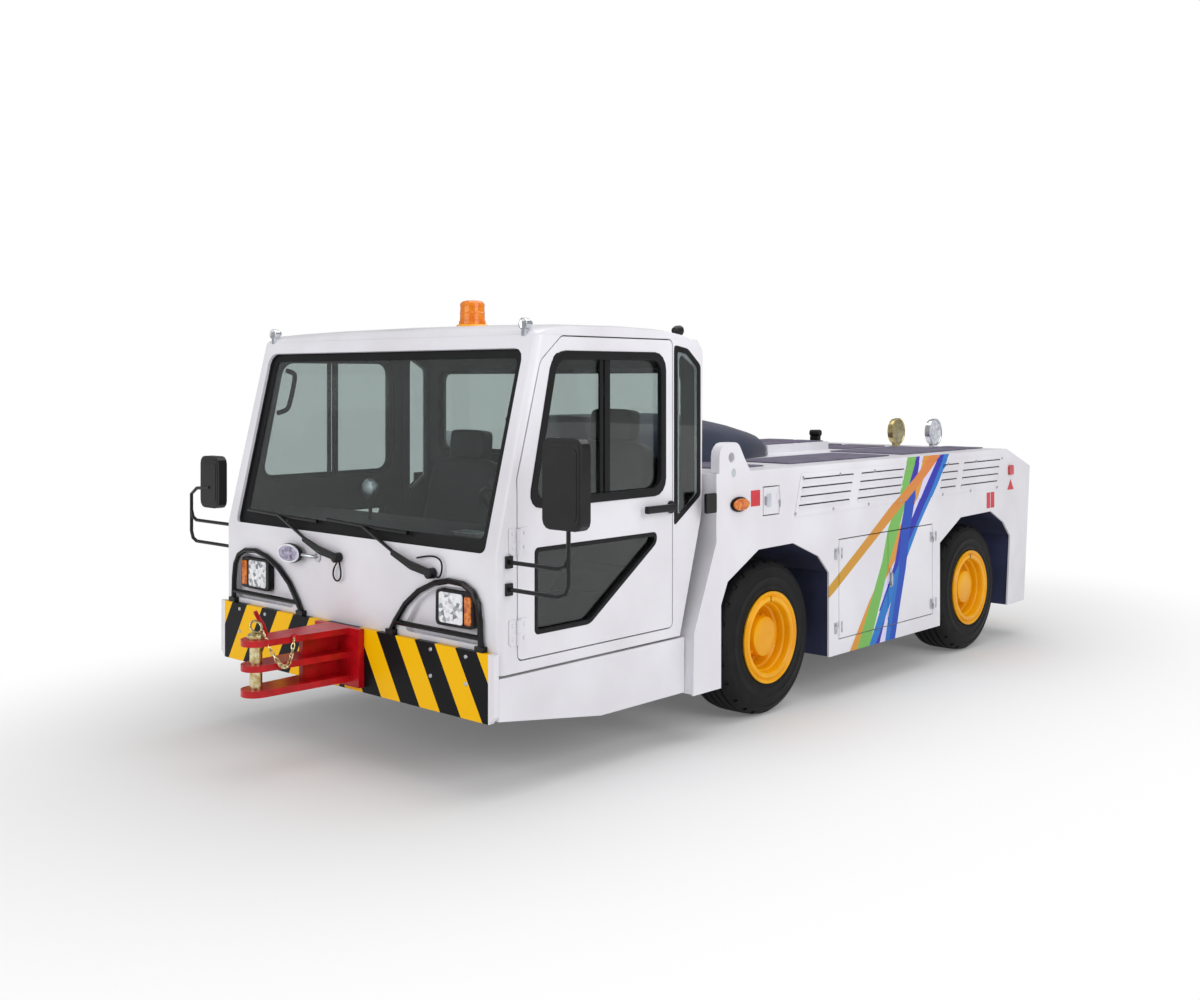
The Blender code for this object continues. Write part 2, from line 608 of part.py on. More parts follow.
def side_panel(side, word):
    """A side of the battery body, with its ear, wheel arches and door openings."""
    start = front(BODY_FOOT[1:] + BODY_TOP)
    ear = [(FRONT_AXLE_Y + y, LIFT + z) for y, z, _ in EAR]
    ear_outline = rounded(ear, [r for _, _, r in EAR], 4)
    tail = rear(BODY_TAIL)
    rear_arch = arch(REAR_ARCH, REAR_AXLE_Y)
    front_arch = arch(FRONT_ARCH, FRONT_AXLE_Y)
    bottom = front([(-0.622, BODY_BOTTOM)])
    outline = [*start, *tail, *reversed(rear_arch), *reversed(front_arch), *bottom]
    panel = bend_corner(slab(outline, side * PANEL_IN, side * BODY_HALF))
    ear_foot = [(a, b - 0.020 if b < LIFT + DECK + 0.002 else b) for a, b in ear_outline]
    ear_shapes = [
        slab(ear_foot, side * PANEL_IN, side * BODY_HALF),
        slab(ear_outline, side * CAB_HALF, side * (PANEL_IN + 0.005)),
    ]
    y0, y1 = access_span()
    door = block(
        side * (PANEL_IN - 0.01), side * (BODY_HALF + 0.01), y0, y1, LIFT + ACCESS[2], LIFT + ACCESS[3]
    )
    y, z, radius = EAR_HOLE
    eye = slab(
        circle(FRONT_AXLE_Y + y, LIFT + z, radius), side * (CAB_HALF - 0.01), side * (BODY_HALF + 0.01)
    )
    hinges = []
    for z in ACCESS_HINGES:
        hinges += side_hinge(side, y0, LIFT + z, True, -1)
        hinges += side_hinge(side, y1, LIFT + z, True, 1)
    cuts = [door, eye]
    if side == 1:
        f0, f1 = FRONT_AXLE_Y + FLAP[0], FRONT_AXLE_Y + FLAP[1]
        z0, z1 = LIFT + FLAP[2], LIFT + FLAP[3]
        hinges.append(
            block(PANEL_IN - POCKET_DEPTH, BODY_HALF - 0.002, f0 - 0.006, f1 + 0.006, z0 - 0.006, z1 + 0.006)
        )
        cuts.append(block(PANEL_IN - POCKET_DEPTH + 0.006, BODY_HALF + 0.01, f0, f1, z0, z1))
        hinges += side_hinge(side, f1, LIFT + FLAP_HINGE, True, 1)
    piece(f"side_panel_{word}", "white_paint", panel, add=ear_shapes + hinges, cut=cuts)


def side_leaf(name, side, y_hinge, y_free, z0, z1, hinges):
    """A door in the side panel that turns on barrels at y_hinge."""
    inwards = 1 if y_free > y_hinge else -1
    leaf = block(
        side * PANEL_IN, side * BODY_HALF, y_hinge + inwards * PLAY, y_free, z0 + PLAY, z1 - PLAY
    )
    halves = []
    for z in hinges:
        halves += side_hinge(side, y_hinge, z, False, inwards)
    origin = (side * (BODY_HALF + KNUCKLE), y_hinge, (z0 + z1) / 2)
    piece(name, "white_paint", leaf, add=halves, origin=origin)


def side_doors(side, word):
    y0, y1 = access_span()
    middle = (y0 + y1) / 2
    z0, z1 = LIFT + ACCESS[2], LIFT + ACCESS[3]
    hinges = [LIFT + z for z in ACCESS_HINGES]
    side_leaf(f"access_door_front_{word}", side, y0, middle - PLAY / 2, z0, z1, hinges)
    side_leaf(f"access_door_rear_{word}", side, y1, middle + PLAY / 2, z0, z1, hinges)
    if side == 1:
        f0, f1 = FRONT_AXLE_Y + FLAP[0], FRONT_AXLE_Y + FLAP[1]
        side_leaf(
            "charging_flap", side, f1, f0 + PLAY, LIFT + FLAP[2], LIFT + FLAP[3], [LIFT + FLAP_HINGE]
        )


# Dark hood behind the cab: y from the front axle, half width, height over the deck
HOOD = (
    (-0.400, 0.410, 0.228), (-0.300, 0.420, 0.233), (0.200, 0.420, 0.230), (0.500, 0.400, 0.185),
    (0.750, 0.345, 0.135), (0.900, 0.260, 0.090), (0.970, 0.150, 0.040),
)


def hood():
    """A moulded cover on the deck, arched across and falling away to the rear."""
    base = LIFT + DECK + GAP
    rings = []
    for y, half, height in HOOD:
        ring = []
        for k in range(13):
            angle = math.pi * k / 12
            c, s = math.cos(angle), math.sin(angle)
            x = half * math.copysign(abs(c) ** 0.55, c)
            ring.append((x, FRONT_AXLE_Y + y, base + height * abs(s) ** 0.75))
        rings.append(ring)
    piece("rear_hood", "grey_plastic", loft(rings))


LAMP_RADIUS = 0.080
LAMP_DEPTH = 0.036
# name, finish, x, y from the rear axle
DECK_LAMPS = (("deck_lamp_inner", "brass", 0.30, 0.262), ("deck_lamp_outer", "chrome", 0.52, 0.305))


def deck_lamps():
    """Two round work lamps on feet, their mouths towards the vehicle's left."""
    for name, finish, x, y in DECK_LAMPS:
        low = LIFT + DECK + GAP
        centre = (x, REAR_AXLE_Y + y, low + 0.008 + LAMP_RADIUS)
        inner = LAMP_RADIUS - 0.006
        profile = [(-LAMP_DEPTH, 0.0), (-LAMP_DEPTH, LAMP_RADIUS - 0.018), (-LAMP_DEPTH + 0.018, LAMP_RADIUS)]
        profile += [(0.0, LAMP_RADIUS), (0.0, inner), (-0.022, inner - 0.008), (-0.022, 0.0)]
        shell = turned(profile, centre, steps=28, closed=False)
        foot = block(
            x - LAMP_DEPTH + 0.008, x - 0.006, centre[1] - 0.030, centre[1] + 0.030, low, low + 0.018
        )
        piece(name, finish, shell, add=[foot])


# ---------------------------------------------------------------- cab
# Rear part of the cab's side outline, y and z
CAB_TAIL = ((-0.537, CAB_TOP), (-0.502, 1.640), (-0.485, 1.584), (-0.485, 1.017), (-0.654, CAB_BOTTOM))
CORNER = 0.030             # bevel on the cab's upright corners


def cab_front(z, deep=0.0):
    """y of the cab's front at a height, deep metres inside its face."""
    lean = max(0.0, z - WAIST) * CAB_RAKE
    return CAB_FRONT + lean + (deep / math.cos(CAB_LEAN) if z > WAIST else deep)


# Door, y from the front axle, z, corner radius
DOOR = (
    (-1.604, 0.494, 0.02), (-1.607, 1.147, 0.02), (-1.486, 1.578, 0.06), (-1.372, 1.672, 0.03),
    (-0.706, 1.672, 0.02), (-0.706, 0.494, 0.02),
)
DOOR_WINDOW = (
    (-1.545, 1.044, 0.070), (-1.416, 1.612, 0.040), (-0.756, 1.614, 0.070), (-0.756, 1.046, 0.080),
)
DOOR_LIGHT = ((-1.515, 0.890, 0.02), (-0.810, 0.890, 0.02), (-0.810, 0.850, 0.02), (-1.215, 0.577, 0.02),
              (-1.515, 0.577, 0.03))
QUARTER = ((-0.694, 0.905, 0.01), (-0.694, 1.655, 0.02), (-0.600, 1.640, 0.03), (-0.512, 1.572, 0.03),
           (-0.512, 1.022, 0.02))
QUARTER_HOLE = ((-0.655, 0.945, 0.01), (-0.655, 1.625, 0.02), (-0.540, 1.560, 0.03), (-0.540, 1.030, 0.02))
SCREEN = (0.797, 0.810, 0.881, 1.628)      # half width below and above, lowest and highest z
REAR_LIGHT = (0.775, 1.150, 1.560)         # half width, lowest and highest z
LAMP_RECESS = ((0.345, 0.548, 0.02), (0.800, 0.548, 0.02), (0.790, 0.690, 0.06), (0.730, 0.750, 0.05),
               (0.560, 0.742, 0.15), (0.430, 0.675, 0.15))
RECESS_DEPTH = 0.026


def shaped(table):
    """A table of (y, z, corner radius) as an outline in the object's frame."""
    return rounded(front([(y, z) for y, z, _ in table]), [r for _, _, r in table])


def screen_frame(deep):
    """The frame of a drawing in the windscreen's plane: x across, b up the slope from the waist, c inwards."""
    up = Vector((0, math.sin(CAB_LEAN), math.cos(CAB_LEAN)))
    inwards = Vector((0, math.cos(CAB_LEAN), -math.sin(CAB_LEAN)))
    start = Vector((0, FRONT_AXLE_Y + CAB_FRONT, LIFT + WAIST)) + inwards * deep
    rows = [(1 if i == 0 else 0, up[i], inwards[i], start[i]) for i in range(3)]
    return Matrix((*rows, (0, 0, 0, 1)))


def screen_outline():
    low_half, high_half, low, high = SCREEN
    slope = math.cos(CAB_LEAN)
    b0, b1 = (low - WAIST) / slope, (high - WAIST) / slope
    corners = [(-low_half, b0), (low_half, b0), (high_half, b1), (-high_half, b1)]
    return rounded(corners, [0.025, 0.025, 0.045, 0.045])


def rear_light_outline():
    half, low, high = REAR_LIGHT
    return rounded([(-half, LIFT + low), (half, LIFT + low), (half, LIFT + high), (-half, LIFT + high)], 0.05)


def cab_outline(inset=0.0, floor=0.0):
    """The cab's side outline, its walls and floor moved inwards."""
    outline = front([(CAB_FRONT, CAB_BOTTOM), (CAB_FRONT, WAIST), (cab_front(CAB_TOP), CAB_TOP), *CAB_TAIL])
    if not inset:
        return outline
    inner = grown(outline, -inset)
    above = LIFT + CAB_TOP + 0.05
    bottom = LIFT + CAB_BOTTOM + floor
    rear_slope = (inner[-2][0] - inner[-1][0]) / (inner[-2][1] - inner[-1][1])
    inner[-1] = (inner[-2][0] + rear_slope * (bottom - inner[-2][1]), bottom)
    inner[0] = (inner[0][0], bottom)
    inner[2] = (FRONT_AXLE_Y + cab_front(above - LIFT, inset), above)
    inner[3] = (inner[3][0], above)
    return inner


def bevel_upright(shape, y_limit):
    """Rounds the upright corners of the cab's front and rear."""
    edges = []
    for edge in shape.edges:
        one, two = (v.co for v in edge.verts)
        upright = abs(one.x - two.x) < 1e-6 and abs(one.z - two.z) > 0.05
        if upright and (min(one.y, two.y) > y_limit[1] or max(one.y, two.y) < y_limit[0]):
            edges.append(edge)
    bmesh.ops.bevel(shape, geom=edges, offset=CORNER, segments=3, profile=0.5, affect="EDGES")
    return shape


def side_cut(outline, depth=0.03):
    """A cutter through the cab's side walls on both sides is made of two of these."""
    return [slab(outline, side * (CAB_INNER - depth), side * (CAB_HALF + depth)) for side in (1, -1)]


BARREL = 0.009             # radius of the cab doors' hinge barrels
BARREL_LENGTH = 0.045
DOOR_HINGES = (0.596, 0.924)
DOOR_AXIS_Y = -1.610


def cab_hinge(side, z, fixed):
    """Half of a cab door's hinge; the fixed half is below the moving one."""
    x, y = side * (CAB_HALF + BARREL + 0.001), FRONT_AXLE_Y + DOOR_AXIS_Y
    low = LIFT + z - BARREL_LENGTH if fixed else LIFT + z + PIN_PLAY
    way = -1 if fixed else 1
    high = low + BARREL_LENGTH
    leaf = block(side * (CAB_HALF + 0.002), side * (CAB_HALF + 0.006), y, y + way * 0.036, low, high)
    foot = block(
        side * (CAB_HALF - 0.002), side * (CAB_HALF + 0.004), y + way * 0.012, y + way * 0.036, low, high
    )
    return [barrel(x, y, low, BARREL, BARREL_LENGTH), leaf, foot]


def cab_body():
    """Floor, front, pillars and rear wall of the cab, open at the top for the roof."""
    outer = bevel_upright(
        slab(cab_outline(), -CAB_HALF, CAB_HALF), (FRONT_AXLE_Y - 1.4, FRONT_AXLE_Y - 0.5)
    )
    inside = slab(cab_outline(CAB_WALL, CAB_FLOOR), -CAB_INNER, CAB_INNER)
    door_opening = grown(shaped(DOOR), PLAY)
    pocket = shaped(QUARTER)
    cuts = [inside, *side_cut(door_opening)]
    cuts += [slab(pocket, s * (CAB_HALF - GLASS - GAP), s * (CAB_HALF + 0.01)) for s in (1, -1)]
    cuts += side_cut(shaped(QUARTER_HOLE))
    cuts.append(slab(screen_outline(), -0.05, 0.10, screen_frame(0)))
    rear_wall = FRONT_AXLE_Y - 0.485
    cuts.append(slab(rear_light_outline(), rear_wall - 0.10, rear_wall + 0.05, FRONT))
    face = FRONT_AXLE_Y + CAB_FRONT
    for side in (1, -1):
        recess = rounded([(side * x, LIFT + z) for x, z, _ in LAMP_RECESS], [r for _, _, r in LAMP_RECESS])
        cuts.append(slab(recess, face - 0.05, face + RECESS_DEPTH, FRONT))
    hinges = []
    for side in (1, -1):
        for z in DOOR_HINGES:
            hinges += cab_hinge(side, z, True)
    piece("cab_body", "white_paint", outer, cut=cuts)
    add_late(bpy.data.objects["cab_body"], hinges)


def add_late(target, shapes):
    """Joins shapes after the cuts."""
    for number, shape in enumerate(shapes, 1):
        label = f"{target.name}_late_{number}"
        modifier = target.modifiers.new(label, "BOOLEAN")
        modifier.operation = "UNION"
        modifier.solver = "EXACT"
        modifier.object = helper(label, shape)


# Roof: y from the front axle, height of its crown over the cab's top, half width less the cab's
ROOF = (
    (-1.492, 0.004, -0.030), (-1.484, 0.022, -0.012), (-1.440, 0.040, -0.002), (-1.340, 0.051, 0.0),
    (-1.000, 0.055, 0.0), (-0.760, 0.050, 0.0), (-0.640, 0.036, -0.002), (-0.575, 0.018, -0.010),
    (-0.545, 0.003, -0.025),
)
ROOF_EDGE = 0.022          # how much lower the roof is at its sides


def cab_roof():
    """The roof panel, crowned across with rounded edges."""
    base = LIFT + CAB_TOP + GAP
    rings = []
    for y, height, inset in ROOF:
        half = CAB_HALF + inset - 0.002
        # share of the half width, share of the edge drop
        across = ((1.0, 0.85), (0.985, 0.70), (0.93, 0.42), (0.55, 0.12), (0.0, 0.0))
        drop = min(ROOF_EDGE, height * 0.9)
        right = [(half * a, base + height - drop * b) for a, b in across]
        top = right + [(-x, z) for x, z in reversed(right[:-1])]
        ring = [(half, base), *top, (-half, base)]
        rings.append([(x, FRONT_AXLE_Y + y, z) for x, z in ring])
    piece("cab_roof", "white_paint", loft(rings))


def cab_glass():
    """Windscreen, rear window and the glued quarter lights."""
    screen = grown(screen_outline(), -GAP)
    piece("windscreen", "glass", slab(screen, RECESS, RECESS + GLASS, screen_frame(0)))
    wall = FRONT_AXLE_Y - 0.485
    pane = grown(rear_light_outline(), -GAP)
    piece("rear_window", "glass", slab(pane, wall - 0.018, wall - 0.012, FRONT))
    pane = grown(shaped(QUARTER), -GAP)
    both_sides(
        lambda side, word: piece(
            f"quarter_light_{word}", "glass", slab(pane, side * (CAB_HALF - GLASS), side * (CAB_HALF - 0.0005))
        )
    )


HANDLE = (-0.905, -0.735, 0.978, 1.000)    # y0, y1, z0, z1


def cab_door(side, word):
    """A cab door with its two panes, which ride on it."""
    axis = (side * (CAB_HALF + BARREL + 0.001), FRONT_AXLE_Y + DOOR_AXIS_Y, LIFT + 1.0)
    panel = slab(shaped(DOOR), side * CAB_INNER, side * CAB_HALF)
    window, light = shaped(DOOR_WINDOW), shaped(DOOR_LIGHT)
    cuts = [slab(o, side * (CAB_INNER - 0.01), side * (CAB_HALF + 0.01)) for o in (window, light)]
    hinges = []
    for z in DOOR_HINGES:
        hinges += cab_hinge(side, z, False)
    y0, y1, z0, z1 = HANDLE
    handle = [
        block(side * (CAB_HALF + 0.022), side * (CAB_HALF + 0.040), FRONT_AXLE_Y + y0, FRONT_AXLE_Y + y1,
              LIFT + z0, LIFT + z1),
    ]
    handle += [
        block(side * (CAB_HALF - 0.002), side * (CAB_HALF + 0.030), FRONT_AXLE_Y + y, FRONT_AXLE_Y + y + 0.022,
              LIFT + z0, LIFT + z1)
        for y in (y0, y1 - 0.022)
    ]
    piece(f"cab_door_{word}", "white_paint", panel, cut=cuts, origin=axis)
    add_late(bpy.data.objects[f"cab_door_{word}"], hinges + handle)
    middle = (CAB_INNER + CAB_HALF) / 2
    for name, outline in ((f"door_window_{word}", window), (f"door_light_{word}", light)):
        pane = slab(grown(outline, -GAP), side * (middle - GLASS / 2), side * (middle + GLASS / 2))
        piece(name, "glass", pane, origin=axis)


# Dashboard's side outline, y from the front axle and z
DASH = (
    (-1.6597, 0.620), (-1.6597, 0.868), (-1.640, 0.905), (-1.300, 0.925), (-1.235, 0.905), (-1.235, 0.850),
    (-1.400, 0.700), (-1.400, 0.620),
)
DASH_SIDE = 0.010          # clearance to the cab's side walls


STEERING = (0.490, -1.190, 0.975)      # middle of the steering wheel
STEERING_RADIUS = 0.180
STEERING_TILT = math.radians(35)
STEERING_NECK = 0.100                  # from the bend in the column to the wheel
COLUMN_RADIUS = 0.035


def column_top():
    """Middle of the steering wheel, its axis, and the bend in the column below it."""
    x, y, z = STEERING
    centre = Vector((x, FRONT_AXLE_Y + y, LIFT + z))
    axis = Vector((0, math.sin(STEERING_TILT), math.cos(STEERING_TILT)))
    return centre, axis, centre - axis * STEERING_NECK


def dashboard():
    """The dashboard, with a slot in its rear edge for the steering column."""
    half = CAB_INNER - DASH_SIDE
    _, _, knee = column_top()
    room = COLUMN_RADIUS + PLAY
    slot = block(
        knee.x - room, knee.x + room, knee.y - room, FRONT_AXLE_Y + DASH[4][0] + 0.05, LIFT, LIFT + 1.10
    )
    piece("dashboard", "black_plastic", slab(front(DASH), -half, half), cut=[slot])


def steering_wheel():
    """Column on the floor, and the wheel on its end."""
    centre, axis, knee = column_top()
    floor = LIFT + CAB_BOTTOM + CAB_FLOOR + GAP
    column = slab(circle(knee.x, knee.y, COLUMN_RADIUS, 16), floor, knee.z + 0.02, PLAN)
    neck = rod(knee, centre + axis * 0.010, 0.024)
    frame = Matrix.Translation(centre) @ axis.to_track_quat("Z", "Y").to_matrix().to_4x4()
    ring = turned([(0.013 * math.sin(t), STEERING_RADIUS + 0.013 * math.cos(t))
                   for t in (math.pi * k / 4 for k in range(8))], (0, 0, 0), axis="Z", steps=24)
    bmesh.ops.transform(ring, matrix=frame, verts=ring.verts)
    spokes = []
    for turn in (math.radians(90), math.radians(210), math.radians(330)):
        tip = frame @ Vector((STEERING_RADIUS * math.cos(turn), STEERING_RADIUS * math.sin(turn), 0))
        spokes.append(rod(centre, tip, 0.009, 8))
    piece("steering_wheel", "black_plastic", column, add=[neck, ring, *spokes])


DRIVER_X = 0.490
PASSENGER_X = -0.420
SEAT_HALF = 0.235
# Cushion and back in side view: y from the front axle, z over the seat's base
SEAT = (
    (-1.065, 0.030), (-1.080, 0.090), (-1.035, 0.125), (-0.775, 0.095), (-0.680, 0.600), (-0.645, 0.630),
    (-0.595, 0.620), (-0.580, 0.580), (-0.690, 0.060), (-0.720, 0.020),
)
HEADREST = ((-0.680, 0.615), (-0.667, 0.755), (-0.640, 0.770), (-0.590, 0.765), (-0.583, 0.610))
HEADREST_HALF = 0.122


def seat(name, x, base):
    """A seat on its box: cushion and back in one, with a narrower headrest."""
    drawing = [(y, base + z) for y, z in SEAT]
    body = slab(front(drawing), x - SEAT_HALF, x + SEAT_HALF)
    rest = slab(front([(y, base + z) for y, z in HEADREST]), x - HEADREST_HALF, x + HEADREST_HALF)
    floor = LIFT + CAB_BOTTOM + CAB_FLOOR + GAP
    box = block(x - 0.190, x + 0.190, FRONT_AXLE_Y - 1.000, FRONT_AXLE_Y - 0.740, floor, LIFT + base + 0.050)
    piece(name, "vinyl", body, add=[rest, box])


# ---------------------------------------------------------------- front end
def bumper(name, y_near, y_far):
    """A striped plate with its lower corners cut off."""
    half, cut = CAB_HALF, 0.028
    low, high = LIFT + BUMPER_LOW, LIFT + BUMPER_HIGH
    outline = [(-half, low + cut), (-half + cut, low), (half - cut, low), (half, low + cut)]
    outline += [(half, high), (-half, high)]
    piece(name, "striped_paint", slab(outline, y_near, y_far, FRONT))


SKIRT = 0.015


def skirt(side, word):
    """The white skirt under the cab's side, from the bumper to the battery body."""
    outline = front([(CAB_FRONT, 0.288), (CAB_FRONT, 0.440), (-0.6225, 0.440), (-0.6225, 0.210),
                     (-1.147, 0.210)])
    piece(f"side_skirt_{word}", "white_paint", slab(outline, side * (CAB_HALF - SKIRT), side * CAB_HALF))


# Hitch plates: lowest and highest z
HITCH_PLATES = ((0.316, 0.342), (0.412, 0.436), (0.506, 0.530))
HITCH_BACK = (0.142, 0.300, 0.530, 0.028)  # back plate: half width, z from, z to, thickness
HITCH_ROOT = 0.080                         # half width of the plates at the back plate
WEB_SHARE = 0.46                           # the web's length, as a share of the pin's distance


def hitch_plate(root_y, pin_y):
    """A plate's plan: round the pin, wider at its root."""
    way = 1 if pin_y > root_y else -1
    steps = [math.pi * k / 8 for k in range(9)]
    nose = [(HITCH_NOSE * math.cos(t), pin_y + way * HITCH_NOSE * math.sin(t)) for t in steps]
    return [(HITCH_ROOT, root_y), *nose, (-HITCH_ROOT, root_y)]


def hitch(name, face, pin_y, way):
    """Back plate, three plates with the pin's holes, and a web between them. way is the hitch's direction."""
    half, low, high, thick = HITCH_BACK
    root = face + way * (thick - 0.004)
    back = block(-half, half, face, face + way * thick, LIFT + low, LIFT + high)
    plan = hitch_plate(root, pin_y)
    plates = [slab(plan, LIFT + z0, LIFT + z1, PLAN) for z0, z1 in HITCH_PLATES]
    web_end = root + (pin_y - root) * WEB_SHARE
    web = block(-0.012, 0.012, root, web_end, LIFT + HITCH_PLATES[0][0] + 0.002, LIFT + HITCH_PLATES[2][1] - 0.002)
    hole = slab(circle(0, pin_y, PIN_RADIUS + PIN_PLAY), LIFT + 0.25, LIFT + 0.60, PLAN)
    piece(name, "red_paint", back, add=[*plates, web], cut=[hole])


def hitch_pin(name, pin_y):
    """The drop pin: it hangs by its collar on the top plate."""
    top = LIFT + HITCH_PLATES[2][1] + GAP
    end = LIFT + HITCH_PLATES[0][0] - 0.004
    profile = [(end, 0.0), (end, PIN_RADIUS - 0.004), (end + 0.006, PIN_RADIUS), (top, PIN_RADIUS)]
    profile += [(top, 0.034), (top + 0.014, 0.034), (top + 0.020, 0.026), (top + 0.020, 0.0)]
    shape = turned(profile, (0, pin_y, 0), axis="Z", steps=20, closed=False)
    piece(name, "zinc", shape, origin=(0, pin_y, top))


def front_end():
    face = FRONT_AXLE_Y + BUMPER_FACE
    bumper("front_bumper", face, FRONT_AXLE_Y + CAB_FRONT - GAP)
    hitch("front_hitch", face - GAP, FRONT_AXLE_Y + PIN_Y, -1)
    hitch_pin("front_hitch_pin", FRONT_AXLE_Y + PIN_Y)
    both_sides(skirt)


def rear_end():
    near = REAR_AXLE_Y + BODY_REAR + GAP
    bumper("rear_bumper", near, near + BUMPER)
    hitch("rear_hitch", near + BUMPER + GAP, REAR_AXLE_Y + REAR_PIN_Y, 1)
    hitch_pin("rear_hitch_pin", REAR_AXLE_Y + REAR_PIN_Y)


HEADLAMP = ((0.538, 0.596), (0.748, 0.600), (0.744, 0.733), (0.540, 0.731))
HEADLAMP_PROUD = 0.004
GUARD_RADIUS = 0.0115
# Guard's hoop, x and z
GUARD = (
    (0.293, 0.545), (0.320, 0.586), (0.378, 0.655), (0.455, 0.713), (0.540, 0.750), (0.620, 0.768),
    (0.700, 0.764), (0.752, 0.740), (0.780, 0.698), (0.790, 0.635), (0.794, 0.545),
)
GUARD_BAR = 0.578


def headlamp(side, word):
    """The lamp housing in its recess, and the tube guard that stands on the bumper."""
    face = FRONT_AXLE_Y + CAB_FRONT
    outline = rounded([(side * x, LIFT + z) for x, z in HEADLAMP], 0.02)
    shape = slab(outline, face - HEADLAMP_PROUD, face + RECESS_DEPTH - GAP, FRONT)
    piece(f"headlamp_{word}", "lamp_glass", shape)

    y = face - GAP - BUMPER / 2
    hoop = tube([(side * x, y, LIFT + z) for x, z in GUARD], GUARD_RADIUS)
    bar = tube([(side * 0.322, y, LIFT + GUARD_BAR), (side * 0.790, y, LIFT + GUARD_BAR)], GUARD_RADIUS * 0.9)
    foot = LIFT + BUMPER_HIGH + GAP
    feet = [
        block(side * x - 0.022, side * x + 0.022, y - 0.012, y + 0.012, foot, foot + 0.020)
        for x in (GUARD[0][0], GUARD[-1][0])
    ]
    piece(f"headlamp_guard_{word}", "black_paint", hoop, add=[bar, *feet])


MIRROR_TUBE = 0.008
MIRROR_BRACKET = (-1.655, 0.757, 0.855)    # y from the front axle, z of the two arms
# For each side: rod's x inwards of the reach, rod's y, rod's top, head's middle x inwards of the reach,
# head's middle y, head's middle z, half width, height, turn
MIRRORS = {
    "left": (0.075, -1.655, 1.150, 0.095, -1.645, 1.149, 0.095, 0.318, 0),
    "right": (MIRROR_TUBE, -1.655, 1.005, 0.181, -1.645, 1.040, 0.078, 0.238, 0),
}
MIRROR_THICK = 0.042


def mirror(side, word):
    """Two bent arms from the front pillar, the upright rod and the mirror's head."""
    inwards, rod_y, rod_top, head_in, head_y, head_z, half, height, turn = MIRRORS[word]
    y0, low, high = MIRROR_BRACKET
    x0, x1 = CAB_HALF + GAP, MIRROR_REACH - inwards
    rod_y, y0 = FRONT_AXLE_Y + rod_y, FRONT_AXLE_Y + y0
    bend = 0.045
    start = Vector((side * x0, y0, 0))
    end = Vector((side * x1, rod_y, 0))
    way = (end - start).normalized()
    near = end - way * bend

    def at(point, z):
        return (point.x, point.y, LIFT + z)

    root = start + Vector((side * 0.006, 0, 0))
    lower = [at(root, low), at(near, low), at(end - way * bend * 0.3, low + bend * 0.3), at(end, low + bend)]
    head_x = side * (MIRROR_REACH - head_in)
    if word == "left":
        lower.append(at(end, rod_top))
    else:
        crook = Vector((head_x, FRONT_AXLE_Y + head_y - 0.022, 0))
        lower += [at(end, rod_top - 0.03), at(end.lerp(crook, 0.3), rod_top), at(crook, rod_top + 0.01)]
    upper = [at(root, high), at(near, high), at(end - way * bend * 0.3, high + bend * 0.3), at(end, high + bend)]
    arms = [tube(path, MIRROR_TUBE) for path in (lower, upper)]
    plate = [
        block(side * x0, side * (x0 + 0.010), y0 - 0.016, y0 + 0.016, LIFT + z - 0.022, LIFT + z + 0.022)
        for z in (low, high)
    ]
    outline = rounded([(-half, -height / 2), (half, -height / 2), (half, height / 2), (-half, height / 2)], 0.035)
    turned_by = Matrix.Rotation(math.radians(turn * side if word == "left" else -turn * side), 4, "Z")
    frame = Matrix.Translation((head_x, FRONT_AXLE_Y + head_y, LIFT + head_z)) @ turned_by @ FRONT
    head = slab(outline, -MIRROR_THICK / 2, MIRROR_THICK / 2, frame)
    piece(f"mirror_{word}", "black_plastic", head, add=[*arms, *plate])


# Wiper: pivot x, z; knee x, z; blade's middle x and z; blade's ends x, z
WIPERS = {
    "middle": ((-0.045, 0.792), (-0.150, 0.812), (-0.470, 0.930), (-0.720, 0.938), (-0.215, 0.924)),
    "left": ((0.525, 0.786), (0.420, 0.806), (0.100, 0.928), (-0.150, 0.936), (0.360, 0.922)),
}
WIPER_PROUD = 0.030


def wiper(word):
    """Pivot on the front panel, arm, and the blade parked along the windscreen's lower edge."""
    pivot, knee, middle, one, two = WIPERS[word]

    def at(point, out):
        x, z = point
        return (x, FRONT_AXLE_Y + cab_front(z) - out, LIFT + z)

    face = FRONT_AXLE_Y + CAB_FRONT
    base = rod((pivot[0], face - GAP, LIFT + pivot[1]), (pivot[0], face - WIPER_PROUD, LIFT + pivot[1]), 0.017, 12)
    arm = tube([at(pivot, WIPER_PROUD - 0.008), at(knee, WIPER_PROUD), at(middle, 0.012)], 0.007, 6)
    blade = tube([at(one, 0.0), at(middle, 0.006), at(two, 0.0)], 0.008, 6)
    piece(f"wiper_{word}", "black_plastic", base, add=[arm, blade])


BEACON_Y = -1.010
BEACON = ((0.0, 0.072), (0.022, 0.072), (0.026, 0.058), (0.100, 0.056), (0.118, 0.048), (0.125, 0.030))


def beacon():
    """Amber beacon on the roof's middle."""
    crown = max(height for _, height, _ in ROOF)
    base = LIFT + CAB_TOP + crown + 2 * GAP
    profile = [(0.0, 0.0), *BEACON, (BEACON[-1][0], 0.0)]
    centre = (0, FRONT_AXLE_Y + BEACON_Y, base)
    piece("beacon", "amber_glass", turned(profile, centre, axis="Z", steps=24, closed=False))


# ---------------------------------------------------------------- the tug
wheels()
front_axle()
both_sides(knuckle)
rear_axle()
chassis()
battery()
rear_body()
both_sides(side_panel)
both_sides(side_doors)
hood()
deck_lamps()
cab_body()
cab_roof()
cab_glass()
both_sides(cab_door)
dashboard()
steering_wheel()
seat("driver_seat", DRIVER_X, 0.613)
seat("passenger_seat", PASSENGER_X, 0.498)
front_end()
rear_end()
both_sides(headlamp)
both_sides(mirror)
wiper("middle")
wiper("left")
beacon()
